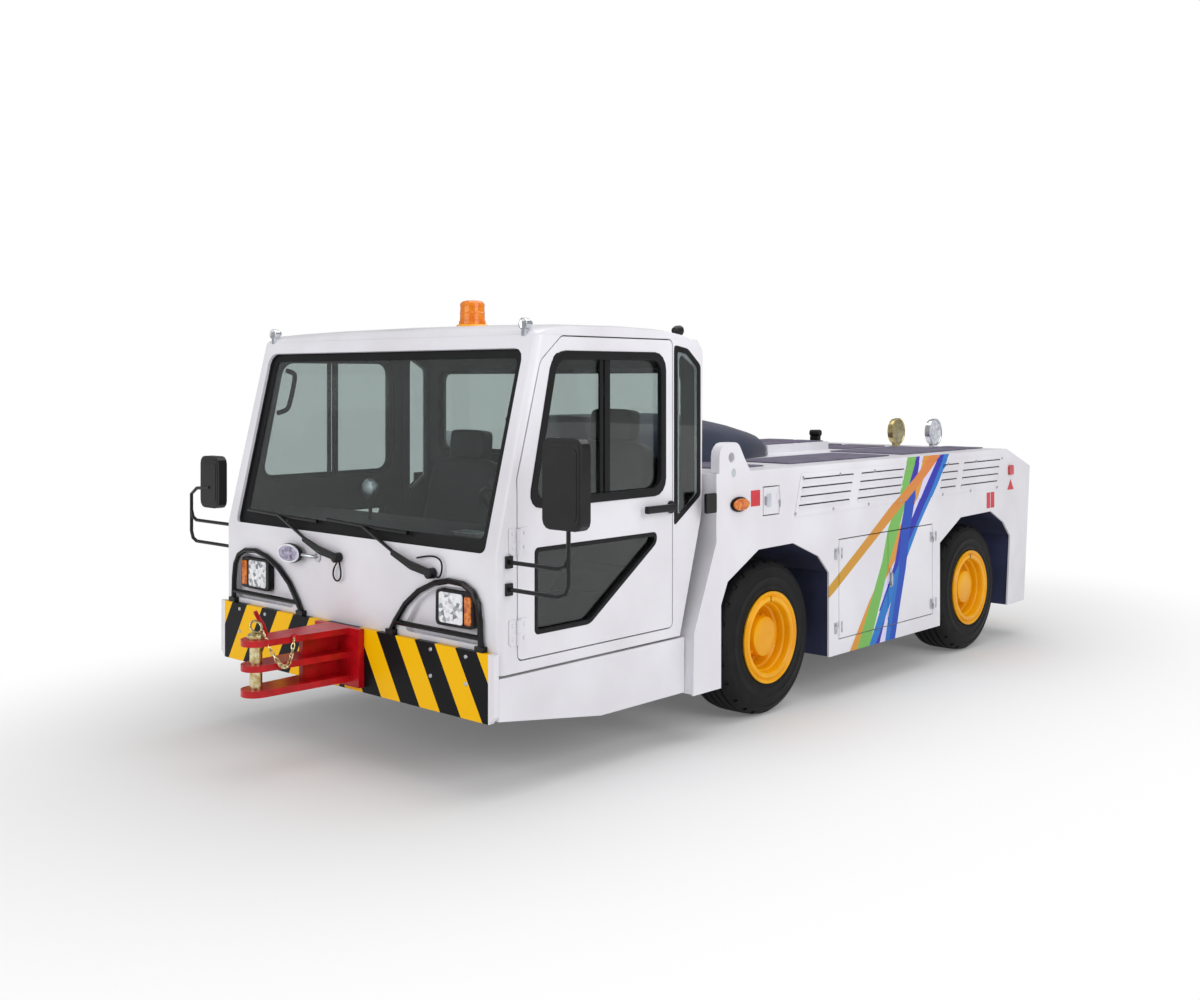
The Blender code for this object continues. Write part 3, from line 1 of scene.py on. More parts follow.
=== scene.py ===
# %% [markdown]
# # An airport baggage tug, dressed for a studio picture
#
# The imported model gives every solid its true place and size. This lesson puts real surfaces on it: enamel,
# rubber, glass, vinyl and zinc, with the trim that a mechanical model leaves out. Each step first says what
# the piece is on the real machine, and then why it is made the way it is.

# %% Load the frame
import json
import math

import bpy
from mathutils import Matrix, Vector

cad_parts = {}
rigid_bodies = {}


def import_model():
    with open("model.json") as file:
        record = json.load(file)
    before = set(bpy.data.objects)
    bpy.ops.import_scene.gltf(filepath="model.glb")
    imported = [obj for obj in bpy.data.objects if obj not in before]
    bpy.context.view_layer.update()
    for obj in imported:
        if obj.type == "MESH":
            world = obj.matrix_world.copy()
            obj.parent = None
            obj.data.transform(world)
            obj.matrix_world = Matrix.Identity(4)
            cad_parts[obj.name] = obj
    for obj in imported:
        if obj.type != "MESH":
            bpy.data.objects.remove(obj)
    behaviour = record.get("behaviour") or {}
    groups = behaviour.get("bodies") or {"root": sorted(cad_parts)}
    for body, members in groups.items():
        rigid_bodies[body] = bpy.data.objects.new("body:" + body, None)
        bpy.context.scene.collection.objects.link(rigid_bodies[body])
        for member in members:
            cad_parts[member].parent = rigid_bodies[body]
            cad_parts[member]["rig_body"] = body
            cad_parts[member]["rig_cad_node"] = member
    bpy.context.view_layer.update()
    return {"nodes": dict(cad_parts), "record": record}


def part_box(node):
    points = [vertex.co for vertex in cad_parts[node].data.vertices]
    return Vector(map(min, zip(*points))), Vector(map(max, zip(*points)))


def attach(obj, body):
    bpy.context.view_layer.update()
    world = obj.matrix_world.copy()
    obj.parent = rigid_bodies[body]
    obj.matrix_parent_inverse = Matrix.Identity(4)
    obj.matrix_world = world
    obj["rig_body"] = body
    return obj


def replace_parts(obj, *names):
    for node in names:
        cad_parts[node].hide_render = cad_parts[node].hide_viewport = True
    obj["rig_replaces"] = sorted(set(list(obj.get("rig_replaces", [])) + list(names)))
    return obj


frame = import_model()
nodes = frame["nodes"]
body_of_node = {
    name: body
    for body, names in frame["record"]["behaviour"]["bodies"].items()
    for name in names
}
slot_of_node = {row["node"]: row["material_slot"] for row in frame["record"]["subparts"]}

# %% [markdown]
# Most places on this machine are easiest to read off from its two axles, the ground and the deck. They come
# from the solids, so the trim follows the model.

# %% Landmarks
LEFT, RIGHT = 1, -1
WORD = {LEFT: "left", RIGHT: "right"}
tyre_low, tyre_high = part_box("tyre_front_left")
FRONT_AXLE = (tyre_low.y + tyre_high.y) / 2
rear_low, rear_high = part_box("tyre_rear_left")
REAR_AXLE = (rear_low.y + rear_high.y) / 2
AXLE_HEIGHT = (tyre_low.z + tyre_high.z) / 2
TYRE_X = (tyre_low.x + tyre_high.x) / 2
BODY_SIDE = 0.920     # the side panels' outer faces
CAB_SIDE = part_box("side_skirt_left")[1].x
CAB_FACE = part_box("front_bumper")[1].y
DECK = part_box("rear_hood")[0].z
WAIST = 0.875         # the fold below the windscreen
SCREEN_SLOPE = 0.2528  # how far the front leans back for each metre above the waist
SCREEN_LEAN = math.atan(SCREEN_SLOPE)
print(f"front axle at y {FRONT_AXLE:.3f}, rear axle at y {REAR_AXLE:.3f}, deck at z {DECK:.3f}")

# %% [markdown]
# ## Camera
#
# The picture is taken from the front left, at a standing person's eye height, with the camera held level. A
# level camera keeps the uprights of the cab upright; the lens shift moves the frame instead of tilting it.

# %% Camera
camera = bpy.data.objects.new("camera", bpy.data.cameras.new("camera"))
bpy.context.scene.collection.objects.link(camera)
camera.location = (4.2251, FRONT_AXLE - 4.9694, 1.5064)
camera.rotation_euler = (math.radians(90), 0, math.radians(43.477))
camera.data.sensor_width = 36
camera.data.lens = 39.377
camera.data.shift_x = 0.0417
camera.data.shift_y = -0.0995
camera.data.clip_end = 100
bpy.context.scene.camera = camera
bpy.context.scene.view_settings.view_transform = "Standard"
print(f"camera with a {camera.data.lens:.1f} mm lens at {camera.location.z:.2f} m")

# %% [markdown]
# ## Colours and nodes
#
# Colours are written as the hex codes that a paint shop would use on a screen. Blender calculates with linear
# light, so one function turns a code into linear numbers.

# %% Colour and node helpers
def linear(code):
    """An sRGB hex code as linear red, green, blue and alpha."""
    parts = [int(code[i : i + 2], 16) / 255 for i in (0, 2, 4)]
    bent = [p / 12.92 if p <= 0.04045 else ((p + 0.055) / 1.055) ** 2.4 for p in parts]
    return (*bent, 1.0)


def new_material(name, **values):
    """A material with its shader's sockets set. An underscore stands for a space in a socket's name."""
    material = bpy.data.materials.new(name)
    material.use_nodes = True
    shader = material.node_tree.nodes["Principled BSDF"]
    for socket, value in values.items():
        shader.inputs[socket.replace("_", " ")].default_value = value
    return material


def add_node(material, kind, inputs=None, to=None, **settings):
    """Adds a node. inputs gives numbers or other nodes' sockets; to names a socket of the main shader."""
    tree = material.node_tree
    made = tree.nodes.new("ShaderNode" + kind)
    for key, value in settings.items():
        setattr(made, key, value)
    for key, value in (inputs or {}).items():
        if isinstance(value, bpy.types.NodeSocket):
            tree.links.new(value, made.inputs[key])
        else:
            made.inputs[key].default_value = value
    if to:
        tree.links.new(made.outputs[0], tree.nodes["Principled BSDF"].inputs[to])
    return made


MM = 0.001


def grain(material, size_mm, depth_mm):
    """A fine relief of the given size and depth, as spray paint, moulding or casting leaves."""
    place = add_node(material, "TexCoord").outputs["Object"]
    noise = add_node(material, "TexNoise", {"Vector": place, "Scale": 1 / (size_mm * MM), "Detail": 3.0})
    add_node(
        material, "Bump", {
            "Height": noise.outputs["Fac"], "Distance": depth_mm * MM, "Strength": 1.0
        }, "Normal"
    )


def mottle(material, size_mm, dark, light, to="Base Color", spread=0.15):
    """A slow change between two colours, as wear, dust and handling leave."""
    place = add_node(material, "TexCoord").outputs["Object"]
    noise = add_node(material, "TexNoise", {"Vector": place, "Scale": 1 / (size_mm * MM), "Detail": 4.0})
    ramp = add_node(material, "ValToRGB", {"Fac": noise.outputs["Fac"]}, to)
    ramp.color_ramp.elements[0].position = 0.5 - spread
    ramp.color_ramp.elements[1].position = 0.5 + spread
    ramp.color_ramp.elements[0].color = linear(dark)
    ramp.color_ramp.elements[1].color = linear(light)
    return ramp


print("orange in linear light:", [round(part, 3) for part in linear("DB8340")[:3]])

# %% [markdown]
# ## Paints
#
# The sheet metal is sprayed with two-pack enamel: a glossy, slightly rippled film. Painters call the ripple
# orange peel. Its real pitch of 1 to 3 mm is drawn a little coarser here so that it shows.

# %% Enamels
white_enamel = new_material(
    "white_enamel", Roughness=0.32, Specular_IOR_Level=0.4, Coat_Weight=0.2, Coat_Roughness=0.08
)
mottle(white_enamel, 420, "DEDCE2", "E9E8EE")
grain(white_enamel, 5.0, 0.035)

yellow_enamel = new_material("yellow_enamel", Roughness=0.3, Specular_IOR_Level=0.3)
mottle(yellow_enamel, 160, "EDA200", "F8B400")
grain(yellow_enamel, 4.0, 0.05)

red_enamel = new_material("red_enamel", Roughness=0.3, Specular_IOR_Level=0.35)
mottle(red_enamel, 60, "AA0812", "C80F1C")
grain(red_enamel, 6.0, 0.18)

black_powder_coat = new_material("black_powder_coat", Roughness=0.24, Specular_IOR_Level=0.3)
mottle(black_powder_coat, 90, "08080A", "101013")
grain(black_powder_coat, 2.5, 0.06)

chassis_enamel = new_material("chassis_enamel", Roughness=0.5)
mottle(chassis_enamel, 240, "272B3C", "363B50")
grain(chassis_enamel, 5.0, 0.10)

# the wheel houses are the same paint, lighter with road dust
liner_enamel = new_material("wheel_house_enamel", Roughness=0.45)
mottle(liner_enamel, 300, "262A3D", "3C4162")
grain(liner_enamel, 6.0, 0.15)
print(len(bpy.data.materials), "materials so far")

# %% [markdown]
# The cab is painted white outside and lined with dark trim inside. One solid holds both skins, so the paint
# stops where a point lies more than a few millimetres inside the outer skin: inwards of the sides, behind the
# front, which leans back above the waist, and ahead of the rear wall.

# %% Cab enamel with its dark lining
SKIN = 0.014  # the paint reaches this far into the sheet
LAMP_RECESS_DEPTH = 0.030  # the lamps' recesses are painted as well
CAB_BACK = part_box("cab_body")[1].y
cab_enamel = new_material(
    "white_enamel_with_dark_lining", Specular_IOR_Level=0.4, Coat_Weight=0.2, Coat_Roughness=0.08
)


def cab_sum(operation, *inputs):
    numbers = dict(enumerate(inputs))
    return add_node(cab_enamel, "Math", numbers, operation=operation).outputs[0]


place = add_node(cab_enamel, "SeparateXYZ", {0: add_node(cab_enamel, "TexCoord").outputs["Object"]})
inwards_of_side = cab_sum("LESS_THAN", cab_sum("ABSOLUTE", place.outputs["X"]), CAB_SIDE - SKIN)
above_waist = cab_sum("MAXIMUM", cab_sum("SUBTRACT", place.outputs["Z"], WAIST), 0.0)
below_waist = cab_sum("LESS_THAN", place.outputs["Z"], WAIST)
skin_depth = cab_sum("MULTIPLY_ADD", below_waist, LAMP_RECESS_DEPTH - SKIN, CAB_FACE + SKIN)
skin_y = cab_sum("MULTIPLY_ADD", above_waist, SCREEN_SLOPE, skin_depth)
behind_face = cab_sum("GREATER_THAN", place.outputs["Y"], skin_y)
ahead_of_back = cab_sum("LESS_THAN", place.outputs["Y"], CAB_BACK - SKIN)
below_roof = cab_sum("LESS_THAN", place.outputs["Z"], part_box("cab_roof")[0].z - 0.004)
lined = cab_sum(
    "MULTIPLY",
    cab_sum("MULTIPLY", inwards_of_side, behind_face),
    cab_sum("MULTIPLY", ahead_of_back, below_roof),
)
paint = mottle(cab_enamel, 420, "DEDCE2", "E9E8EE", to=None)
lining = mottle(cab_enamel, 60, "15181B", "20242A", to=None)
add_node(
    cab_enamel,
    "MixRGB",
    {"Fac": lined, "Color1": paint.outputs[0], "Color2": lining.outputs[0]},
    "Base Color",
)
add_node(cab_enamel, "MapRange", {"Value": lined, "To Min": 0.32, "To Max": 0.6}, "Roughness")
grain(cab_enamel, 5.0, 0.035)
print("the lining starts", SKIN * 1000, "mm behind the cab's skin")

# %% [markdown]
# The bumpers carry diagonal black stripes on yellow film that lean outwards from the middle. Two sums decide
# the stripe: how far a point is from the middle, plus a share of its height. The outer ends stay white.

# %% Warning stripes
STRIPE_PITCH = 0.227  # one black and one yellow stripe, measured along the bumper
STRIPE_START = 0.217  # where a black stripe meets the bumper's top
STRIPE_LEAN = 0.576   # how far a stripe runs inwards for each metre down
BUMPER_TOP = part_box("front_bumper")[1].z

warning_film = new_material("warning_stripe_film", Roughness=0.34, Specular_IOR_Level=0.12)
place = add_node(warning_film, "SeparateXYZ", {0: add_node(warning_film, "TexCoord").outputs["Object"]})
outwards = add_node(warning_film, "Math", {0: place.outputs["X"]}, operation="ABSOLUTE")
climb = add_node(
    warning_film, "Math", {
        0: place.outputs["Z"], 1: STRIPE_LEAN, 2: outwards.outputs[0]
    }, operation="MULTIPLY_ADD"
)
start = add_node(
    warning_film,
    "Math",
    {0: climb.outputs[0], 1: STRIPE_START + BUMPER_TOP * STRIPE_LEAN - 4 * STRIPE_PITCH},
    operation="SUBTRACT",
)
within = add_node(warning_film, "Math", {0: start.outputs[0], 1: STRIPE_PITCH}, operation="MODULO")
is_yellow = add_node(
    warning_film, "Math", {0: within.outputs[0], 1: STRIPE_PITCH / 2}, operation="GREATER_THAN"
)
is_end = add_node(
    warning_film, "Math", {0: outwards.outputs[0], 1: CAB_SIDE - 0.030}, operation="GREATER_THAN"
)
striped = add_node(
    warning_film,
    "MixRGB",
    {"Fac": is_yellow.outputs[0], "Color1": linear("101114"), "Color2": linear("FCC000")},
)
add_node(
    warning_film,
    "MixRGB",
    {"Fac": is_end.outputs[0], "Color1": striped.outputs[0], "Color2": linear("E6E4EA")},
    "Base Color",
)
grain(warning_film, 6.0, 0.03)
print("a stripe pair every", STRIPE_PITCH * 1000, "mm")

# %% [markdown]
# The sides carry broad bands of coloured film that cross each other. Each band is written as a short table of
# heights with its two edges, measured along the body from the front axle. A float curve turns a height into
# an edge, so the bands bend gently, and later bands lie over earlier ones.

# %% Livery film
LIVERY_SPAN = (0.10, 1.20)   # heights that the curves cover
LIVERY_REACH = (0.30, 1.80)  # places along the body that the curves cover
LIVERY = (
    # colour, ((height, front edge, rear edge), ...); "ORANGE" is the band that runs from gold to orange
    ("D9D5F2", ((0.20, 0.85, 0.96), (0.36, 0.990, 1.00), (0.37, 1.00, 1.00))),
    ("D9D5F2", ((0.42, 0.90, 0.94), (0.52, 0.94, 1.02), (0.62, 1.00, 1.10), (0.64, 1.05, 1.08))),
    ("D9D5F2", ((0.75, 1.20, 1.23), (0.90, 1.25, 1.38), (1.00, 1.30, 1.46), (1.12, 1.30, 1.56))),
    ("D9973C", ((0.20, 0.615, 0.70), (0.42, 0.80, 0.86), (0.60, 0.98, 1.06), (0.75, 1.09, 1.15),
                (0.90, 1.24, 1.29), (1.12, 1.36, 1.43))),
    ("78B85A", ((0.20, 0.685, 0.805), (0.44, 0.83, 0.925), (0.60, 0.925, 1.00), (0.76, 0.985, 1.10),
                (0.93, 1.10, 1.19), (1.12, 1.19, 1.315))),
    ("3A2AA8", ((0.20, 0.86, 0.90), (0.60, 1.06, 1.10), (0.80, 1.13, 1.22), (0.96, 1.19, 1.27),
                (1.12, 1.285, 1.318))),
    ("2478C8", ((0.20, 0.80, 0.862), (0.36, 0.905, 0.99), (0.50, 1.01, 1.10), (0.60, 1.08, 1.18),
                (0.75, 1.19, 1.30), (0.95, 1.38, 1.50), (1.12, 1.57, 1.65))),
    ("272EAE", ((0.36, 0.895, 0.91), (0.50, 1.00, 1.02), (0.66, 1.10, 1.18), (0.75, 1.19, 1.265),
                (0.95, 1.37, 1.45), (1.12, 1.535, 1.595))),
    ("1E4CB8", ((0.20, 0.955, 1.055), (0.36, 1.00, 1.105), (0.54, 1.085, 1.165), (0.75, 1.125, 1.215),
                (0.90, 1.16, 1.265), (0.99, 1.215, 1.262))),
    ("246EC2", ((0.20, 0.955, 1.00), (0.36, 1.00, 1.045), (0.54, 1.085, 1.10), (0.60, 1.095, 1.097))),
    ("ORANGE", ((0.476, 0.42, 0.421), (0.50, 0.421, 0.470), (0.536, 0.43, 0.535), (0.690, 0.700, 0.81),
                (0.754, 0.81, 0.925), (0.846, 0.965, 1.09), (0.90, 1.06, 1.185), (1.00, 1.25, 1.365),
                (1.12, 1.44, 1.56))),
)

livery_enamel = new_material("livery_film_on_enamel", Roughness=0.32, Specular_IOR_Level=0.15)
place = add_node(livery_enamel, "SeparateXYZ", {0: add_node(livery_enamel, "TexCoord").outputs["Object"]})
height = add_node(
    livery_enamel,
    "MapRange",
    {"Value": place.outputs["Z"], "From Min": LIVERY_SPAN[0], "From Max": LIVERY_SPAN[1]},
)
along = add_node(
    livery_enamel,
    "MapRange",
    {
        "Value": place.outputs["Y"],
        "From Min": FRONT_AXLE + LIVERY_REACH[0],
        "From Max": FRONT_AXLE + LIVERY_REACH[1],
    },
)


def edge_curve(points):
    """A float curve from a height to a place along the body, both as shares of their spans."""
    made = add_node(livery_enamel, "FloatCurve", {"Value": height.outputs[0]})
    curve = made.mapping.curves[0]
    shares = [
        (
            (z - LIVERY_SPAN[0]) / (LIVERY_SPAN[1] - LIVERY_SPAN[0]),
            (y - LIVERY_REACH[0]) / (LIVERY_REACH[1] - LIVERY_REACH[0]),
        )
        for z, y in points
    ]
    curve.points[0].location = shares[0]
    curve.points[1].location = shares[-1]
    for share in shares[1:-1]:
        curve.points.new(*share)
    for point in curve.points:
        point.handle_type = "VECTOR"
    made.mapping.extend = "HORIZONTAL"
    made.mapping.update()
    return made


from_middle = add_node(livery_enamel, "Math", {0: place.outputs["X"]}, operation="ABSOLUTE")
outer_face = add_node(
    livery_enamel, "Math", {0: from_middle.outputs[0], 1: BODY_SIDE - 4 * MM}, operation="GREATER_THAN"
)
rising = add_node(
    livery_enamel, "MapRange", {"Value": place.outputs["Z"], "From Min": 0.55, "From Max": 1.05}
)
gold_to_orange = add_node(
    livery_enamel,
    "MixRGB",
    {"Fac": rising.outputs[0], "Color1": linear("CB9A36"), "Color2": linear("DB8340")},
)
colour = mottle(livery_enamel, 420, "DEDCE2", "E9E8EE").outputs[0]
for code, rows in LIVERY:
    front_edge = edge_curve([(z, a) for z, a, b in rows])
    rear_edge = edge_curve([(z, b) for z, a, b in rows])
    behind = add_node(
        livery_enamel, "Math", {0: along.outputs[0], 1: front_edge.outputs[0]}, operation="GREATER_THAN"
    )
    before = add_node(
        livery_enamel, "Math", {0: along.outputs[0], 1: rear_edge.outputs[0]}, operation="LESS_THAN"
    )
    inside = add_node(
        livery_enamel, "Math", {0: behind.outputs[0], 1: before.outputs[0]}, operation="MULTIPLY"
    )
    over = add_node(
        livery_enamel,
        "Math",
        {0: place.outputs["Z"], 1: rows[0][0]},
        operation="GREATER_THAN",
    )
    under = add_node(livery_enamel, "Math", {0: place.outputs["Z"], 1: rows[-1][0]}, operation="LESS_THAN")
    band = add_node(livery_enamel, "Math", {0: over.outputs[0], 1: under.outputs[0]}, operation="MULTIPLY")
    seen = add_node(
        livery_enamel, "Math", {0: band.outputs[0], 1: outer_face.outputs[0]}, operation="MULTIPLY"
    )
    mask = add_node(livery_enamel, "Math", {0: inside.outputs[0], 1: seen.outputs[0]}, operation="MULTIPLY")
    film = linear(code) if code != "ORANGE" else gold_to_orange.outputs[0]
    colour = add_node(
        livery_enamel, "MixRGB", {"Fac": mask.outputs[0], "Color1": colour, "Color2": film}
    ).outputs[0]
livery_enamel.node_tree.links.new(
    colour, livery_enamel.node_tree.nodes["Principled BSDF"].inputs["Base Color"]
)
grain(livery_enamel, 5.0, 0.035)
print(len(LIVERY), "bands of film")

# %% [markdown]
# ## Rubber, plastic and glass
#
# Tyre rubber is a matt, slightly dusty black. Moulded plastics have a fine spark-eroded grain. The windows are
# thick tinted glass: the pane is a closed solid, so light bends into and out of it.

# %% Rubber, plastics and glass
tyre_rubber = new_material("tyre_rubber", Roughness=0.62, Specular_IOR_Level=0.25)
mottle(tyre_rubber, 70, "0C0C0E", "151517")
grain(tyre_rubber, 3.0, 0.15)

seal_rubber = new_material("seal_rubber", Roughness=0.45, Specular_IOR_Level=0.25)
mottle(seal_rubber, 120, "070709", "0E0F12")
grain(seal_rubber, 2.0, 0.05)

black_abs = new_material("black_grained_abs", Roughness=0.36, Specular_IOR_Level=0.3)
mottle(black_abs, 90, "0B0B0E", "131417")
grain(black_abs, 1.6, 0.10)

dashboard_abs = new_material("dashboard_abs", Roughness=0.55, Specular_IOR_Level=0.25)
mottle(dashboard_abs, 150, "101316", "191C20")
grain(dashboard_abs, 2.0, 0.15)

hood_moulding = new_material("hood_gel_coat", Roughness=0.34, Specular_IOR_Level=0.4)
mottle(hood_moulding, 300, "252C3F", "343B52")
grain(hood_moulding, 6.0, 0.08)

deck_matting = new_material("ribbed_deck_matting", Roughness=0.75)
mottle(deck_matting, 60, "575266", "6B6579")
place = add_node(deck_matting, "TexCoord").outputs["Object"]
ribs = add_node(
    deck_matting,
    "TexWave",
    {"Vector": place, "Scale": 1 / (14 * MM) / 6.2832 * 2, "Distortion": 0.0},
    bands_direction="X",
)
add_node(
    deck_matting, "Bump", {"Height": ribs.outputs["Fac"], "Distance": 1.2 * MM, "Strength": 1.0}, "Normal"
)

tinted_glass = new_material(
    "tinted_laminated_glass",
    Base_Color=linear("C3CCCA"),
    Roughness=0.0,
    Transmission_Weight=1.0,
    IOR=1.45,
)

clear_lens = new_material(
    "clear_polycarbonate", Base_Color=linear("F2F3F6"), Roughness=0.03, Transmission_Weight=1.0, IOR=1.58
)
amber_lens = new_material("amber_polycarbonate", Roughness=0.12, IOR=1.58)
mottle(amber_lens, 14, "A8400A", "F08A1C")

# The pressed glass of a lamp scatters what its bowl throws back, so the whole lens looks silvery, in facets.
faceted_glass = new_material("faceted_lamp_glass", Roughness=0.08, IOR=1.5)
place = add_node(faceted_glass, "TexCoord").outputs["Object"]
facets = add_node(faceted_glass, "TexVoronoi", {"Vector": place, "Scale": 1 / (17 * MM)}, feature="F1")
shades = add_node(faceted_glass, "ValToRGB", {"Fac": facets.outputs["Color"]}, "Base Color")
shades.color_ramp.elements[0].color = linear("868B95")
shades.color_ramp.elements[0].position = 0.12
shades.color_ramp.elements[1].color = linear("F4F5F8")
shades.color_ramp.elements[1].position = 0.62
add_node(
    faceted_glass, "Bump", {
        "Height": facets.outputs["Distance"], "Distance": 2.5 * MM, "Strength": 0.8
    }, "Normal"
)
beacon_lens_plastic = new_material("orange_acrylic", Roughness=0.15, Transmission_Weight=0.25, IOR=1.49)
mottle(beacon_lens_plastic, 50, "F27A08", "FF9A1E")
beacon_foot_plastic = new_material("yellow_orange_abs", Roughness=0.35)
mottle(beacon_foot_plastic, 60, "F6A818", "FDBE34")
aged_lens = new_material("aged_lamp_glass", Roughness=0.18, IOR=1.5)
mottle(aged_lens, 30, "7D7450", "A39A6E")
bright_lens = new_material("prismatic_lamp_glass", Roughness=0.12, IOR=1.5)
mottle(bright_lens, 24, "B9BEC9", "F1F3F7")
aluminised_bowl = new_material("aluminised_lamp_bowl", Metallic=0.35, Roughness=0.25)
mottle(aluminised_bowl, 9, "C8CCD4", "FBFCFF", spread=0.08)
flood_lens = new_material("flood_lamp_glass", Roughness=0.12, IOR=1.5)
mottle(flood_lens, 20, "8C82A0", "C3BCD4")
red_lens = new_material("red_polycarbonate", Roughness=0.14, IOR=1.58)
mottle(red_lens, 30, "B01222", "CF1D2E")

# %% [markdown]
# ## Metals
#
# The drop pins and the chain are zinc plated with a yellow passivation, which shimmers from green to pink. The
# lamps on the deck are brass and chrome. A metal's colour is its reflection, so metallic is 1.

# %% Metals
yellow_zinc = new_material("yellow_passivated_zinc", Metallic=1.0, Roughness=0.26)
mottle(yellow_zinc, 16, "B49A62", "DCD5AE")
grain(yellow_zinc, 8.0, 0.04)

polished_brass = new_material("polished_brass", Metallic=1.0, Roughness=0.2)
mottle(polished_brass, 40, "B9A36A", "D8C892")

chrome_plate = new_material("chrome_plate", Metallic=1.0, Roughness=0.08)
mottle(chrome_plate, 60, "C9CBD2", "E4E6EA")

bright_steel = new_material("bright_stainless_steel", Metallic=1.0, Roughness=0.28)
mottle(bright_steel, 25, "A9ABB2", "C9CBD0")

seat_vinyl = new_material("seat_vinyl", Roughness=0.48, Specular_IOR_Level=0.35)
mottle(seat_vinyl, 130, "0D0F12", "16191D")
place = add_node(seat_vinyl, "TexCoord").outputs["Object"]
leather_cells = add_node(seat_vinyl, "TexVoronoi", {"Vector": place, "Scale": 1 / (4 * MM)})
add_node(
    seat_vinyl, "Bump", {
        "Height": leather_cells.outputs["Distance"], "Distance": 0.25 * MM, "Strength": 0.8
    }, "Normal"
)

label_red = new_material("red_label_film", Roughness=0.4)
mottle(label_red, 50, "C3202F", "CF2B3A")
label_pale = new_material("pale_label_film", Roughness=0.4)
mottle(label_pale, 50, "B9BDC6", "C9CDD6")

# %% [markdown]
# ## Finishing the solids
#
# Folded sheet and cast parts never have knife edges, and light catches on each small radius. So a copy of each
# solid gets its loose triangles merged, flat regions joined into single faces, and every sharp edge rounded by
# a millimetre or two. The copy stands for the solid and rides on the same body.

# %% Finish copies of the solids
def only(obj):
    """Selects one object and makes it active."""
    bpy.ops.object.select_all(action="DESELECT")
    obj.select_set(True)
    bpy.context.view_layer.objects.active = obj
    return obj


def edit(obj):
    """Enters edit mode with everything selected."""
    only(obj)
    bpy.ops.object.mode_set(mode="EDIT")
    bpy.ops.mesh.select_all(action="SELECT")


def leave():
    bpy.ops.object.mode_set(mode="OBJECT")


def apply_modifier(obj, kind, **settings):
    only(obj)
    made = obj.modifiers.new(kind.lower(), kind)
    for key, value in settings.items():
        setattr(made, key, value)
    bpy.ops.object.modifier_apply(modifier=made.name)


def smooth(obj, degrees=32):
    only(obj)
    bpy.ops.object.shade_smooth_by_angle(angle=math.radians(degrees))


def round_edges(obj, radius, segments=2):
    apply_modifier(
        obj, "BEVEL", width=radius, segments=segments, limit_method="ANGLE", angle_limit=math.radians(30)
    )
    smooth(obj, 40)
    apply_modifier(obj, "WEIGHTED_NORMAL", keep_sharp=True)


def duplicate(obj, name):
    """A copy with its own mesh, which rides on nothing yet."""
    copy = obj.copy()
    copy.data = obj.data.copy()
    copy.name = copy.data.name = name
    copy.parent = None
    for key in [key for key in ("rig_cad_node", "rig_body", "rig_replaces") if key in copy]:
        del copy[key]
    bpy.context.scene.collection.objects.link(copy)
    return copy


def finished(node, material, radius):
    """A copy of a solid with rounded edges and its own finish, standing for the solid."""
    copy = duplicate(nodes[node], node + "_finished")
    edit(copy)
    bpy.ops.mesh.remove_doubles(threshold=0.00005)
    bpy.ops.mesh.dissolve_limited(angle_limit=math.radians(0.6))
    leave()
    round_edges(copy, radius)
    copy.data.materials.clear()
    copy.data.materials.append(material)
    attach(copy, body_of_node[node])
    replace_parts(copy, node)


# node, material, radius of its edges
FINISHES = [
    ("cab_body", cab_enamel, 0.0025),
    ("cab_roof", white_enamel, 0.004),
    ("rear_body", white_enamel, 0.002),
    ("chassis_frame", chassis_enamel, 0.0015),
    ("wheel_houses_front", liner_enamel, 0.003),
    ("wheel_houses_rear", liner_enamel, 0.003),
    ("front_axle", chassis_enamel, 0.002),
    ("rear_axle", chassis_enamel, 0.002),
    ("battery_pack", black_abs, 0.004),
    ("rear_hood", hood_moulding, 0.004),
    ("deck_lamp_inner", polished_brass, 0.0015),
    ("deck_lamp_outer", chrome_plate, 0.0015),
    ("dashboard", dashboard_abs, 0.006),
    ("steering_wheel", black_abs, 0.001),
    ("front_bumper", warning_film, 0.002),
    ("rear_bumper", warning_film, 0.002),
    ("front_hitch", red_enamel, 0.0022),
    ("rear_hitch", red_enamel, 0.0022),
    ("front_hitch_pin", yellow_zinc, 0.001),
    ("rear_hitch_pin", yellow_zinc, 0.001),
    ("wiper_middle", black_powder_coat, 0.001),
    ("wiper_left", black_powder_coat, 0.001),
    ("charging_flap", white_enamel, 0.0015),
]
for side in (LEFT, RIGHT):
    word = WORD[side]
    FINISHES += [
        (f"side_panel_{word}", livery_enamel, 0.0012),
        (f"access_door_front_{word}", livery_enamel, 0.0012),
        (f"access_door_rear_{word}", livery_enamel, 0.0012),
        (f"side_skirt_{word}", white_enamel, 0.002),
        (f"cab_door_{word}", cab_enamel, 0.002),
        (f"knuckle_{word}", chassis_enamel, 0.002),
        (f"headlamp_guard_{word}", black_powder_coat, 0.0008),
        (f"mirror_{word}", black_abs, 0.0015),
        (f"headlamp_{word}", black_abs, 0.003),
    ]
for node, material, radius in FINISHES:
    finished(node, material, radius)
print(len(FINISHES), "solids finished")

# the panes and the few solids that no copy stands for
for node, obj in nodes.items():
    if not obj.hide_render:
        glassy = slot_of_node[node] == "tinted_glass"
        colour = {"rubber": tyre_rubber, "yellow_paint": yellow_enamel, "seat_vinyl": seat_vinyl}
        obj.data.materials.clear()
        obj.data.materials.append(tinted_glass if glassy else colour.get(slot_of_node[node], amber_lens))

# %% [markdown]
# ## Drawing boards
#
# Most trim is cut from a flat outline. A drawing board is a matrix that turns (along, up, outwards) into a
# place on the tug: the side, the front, the deck and the leaning windscreen each have one. Places along the
# body are measured from the front axle, so they can be checked with a tape on the real machine.

# %% Boards and starting shapes
def board(along, up, outwards, origin):
    """The turn and the origin of a drawing board."""
    return Matrix((along, up, outwards)).transposed().to_4x4(), Vector(origin)


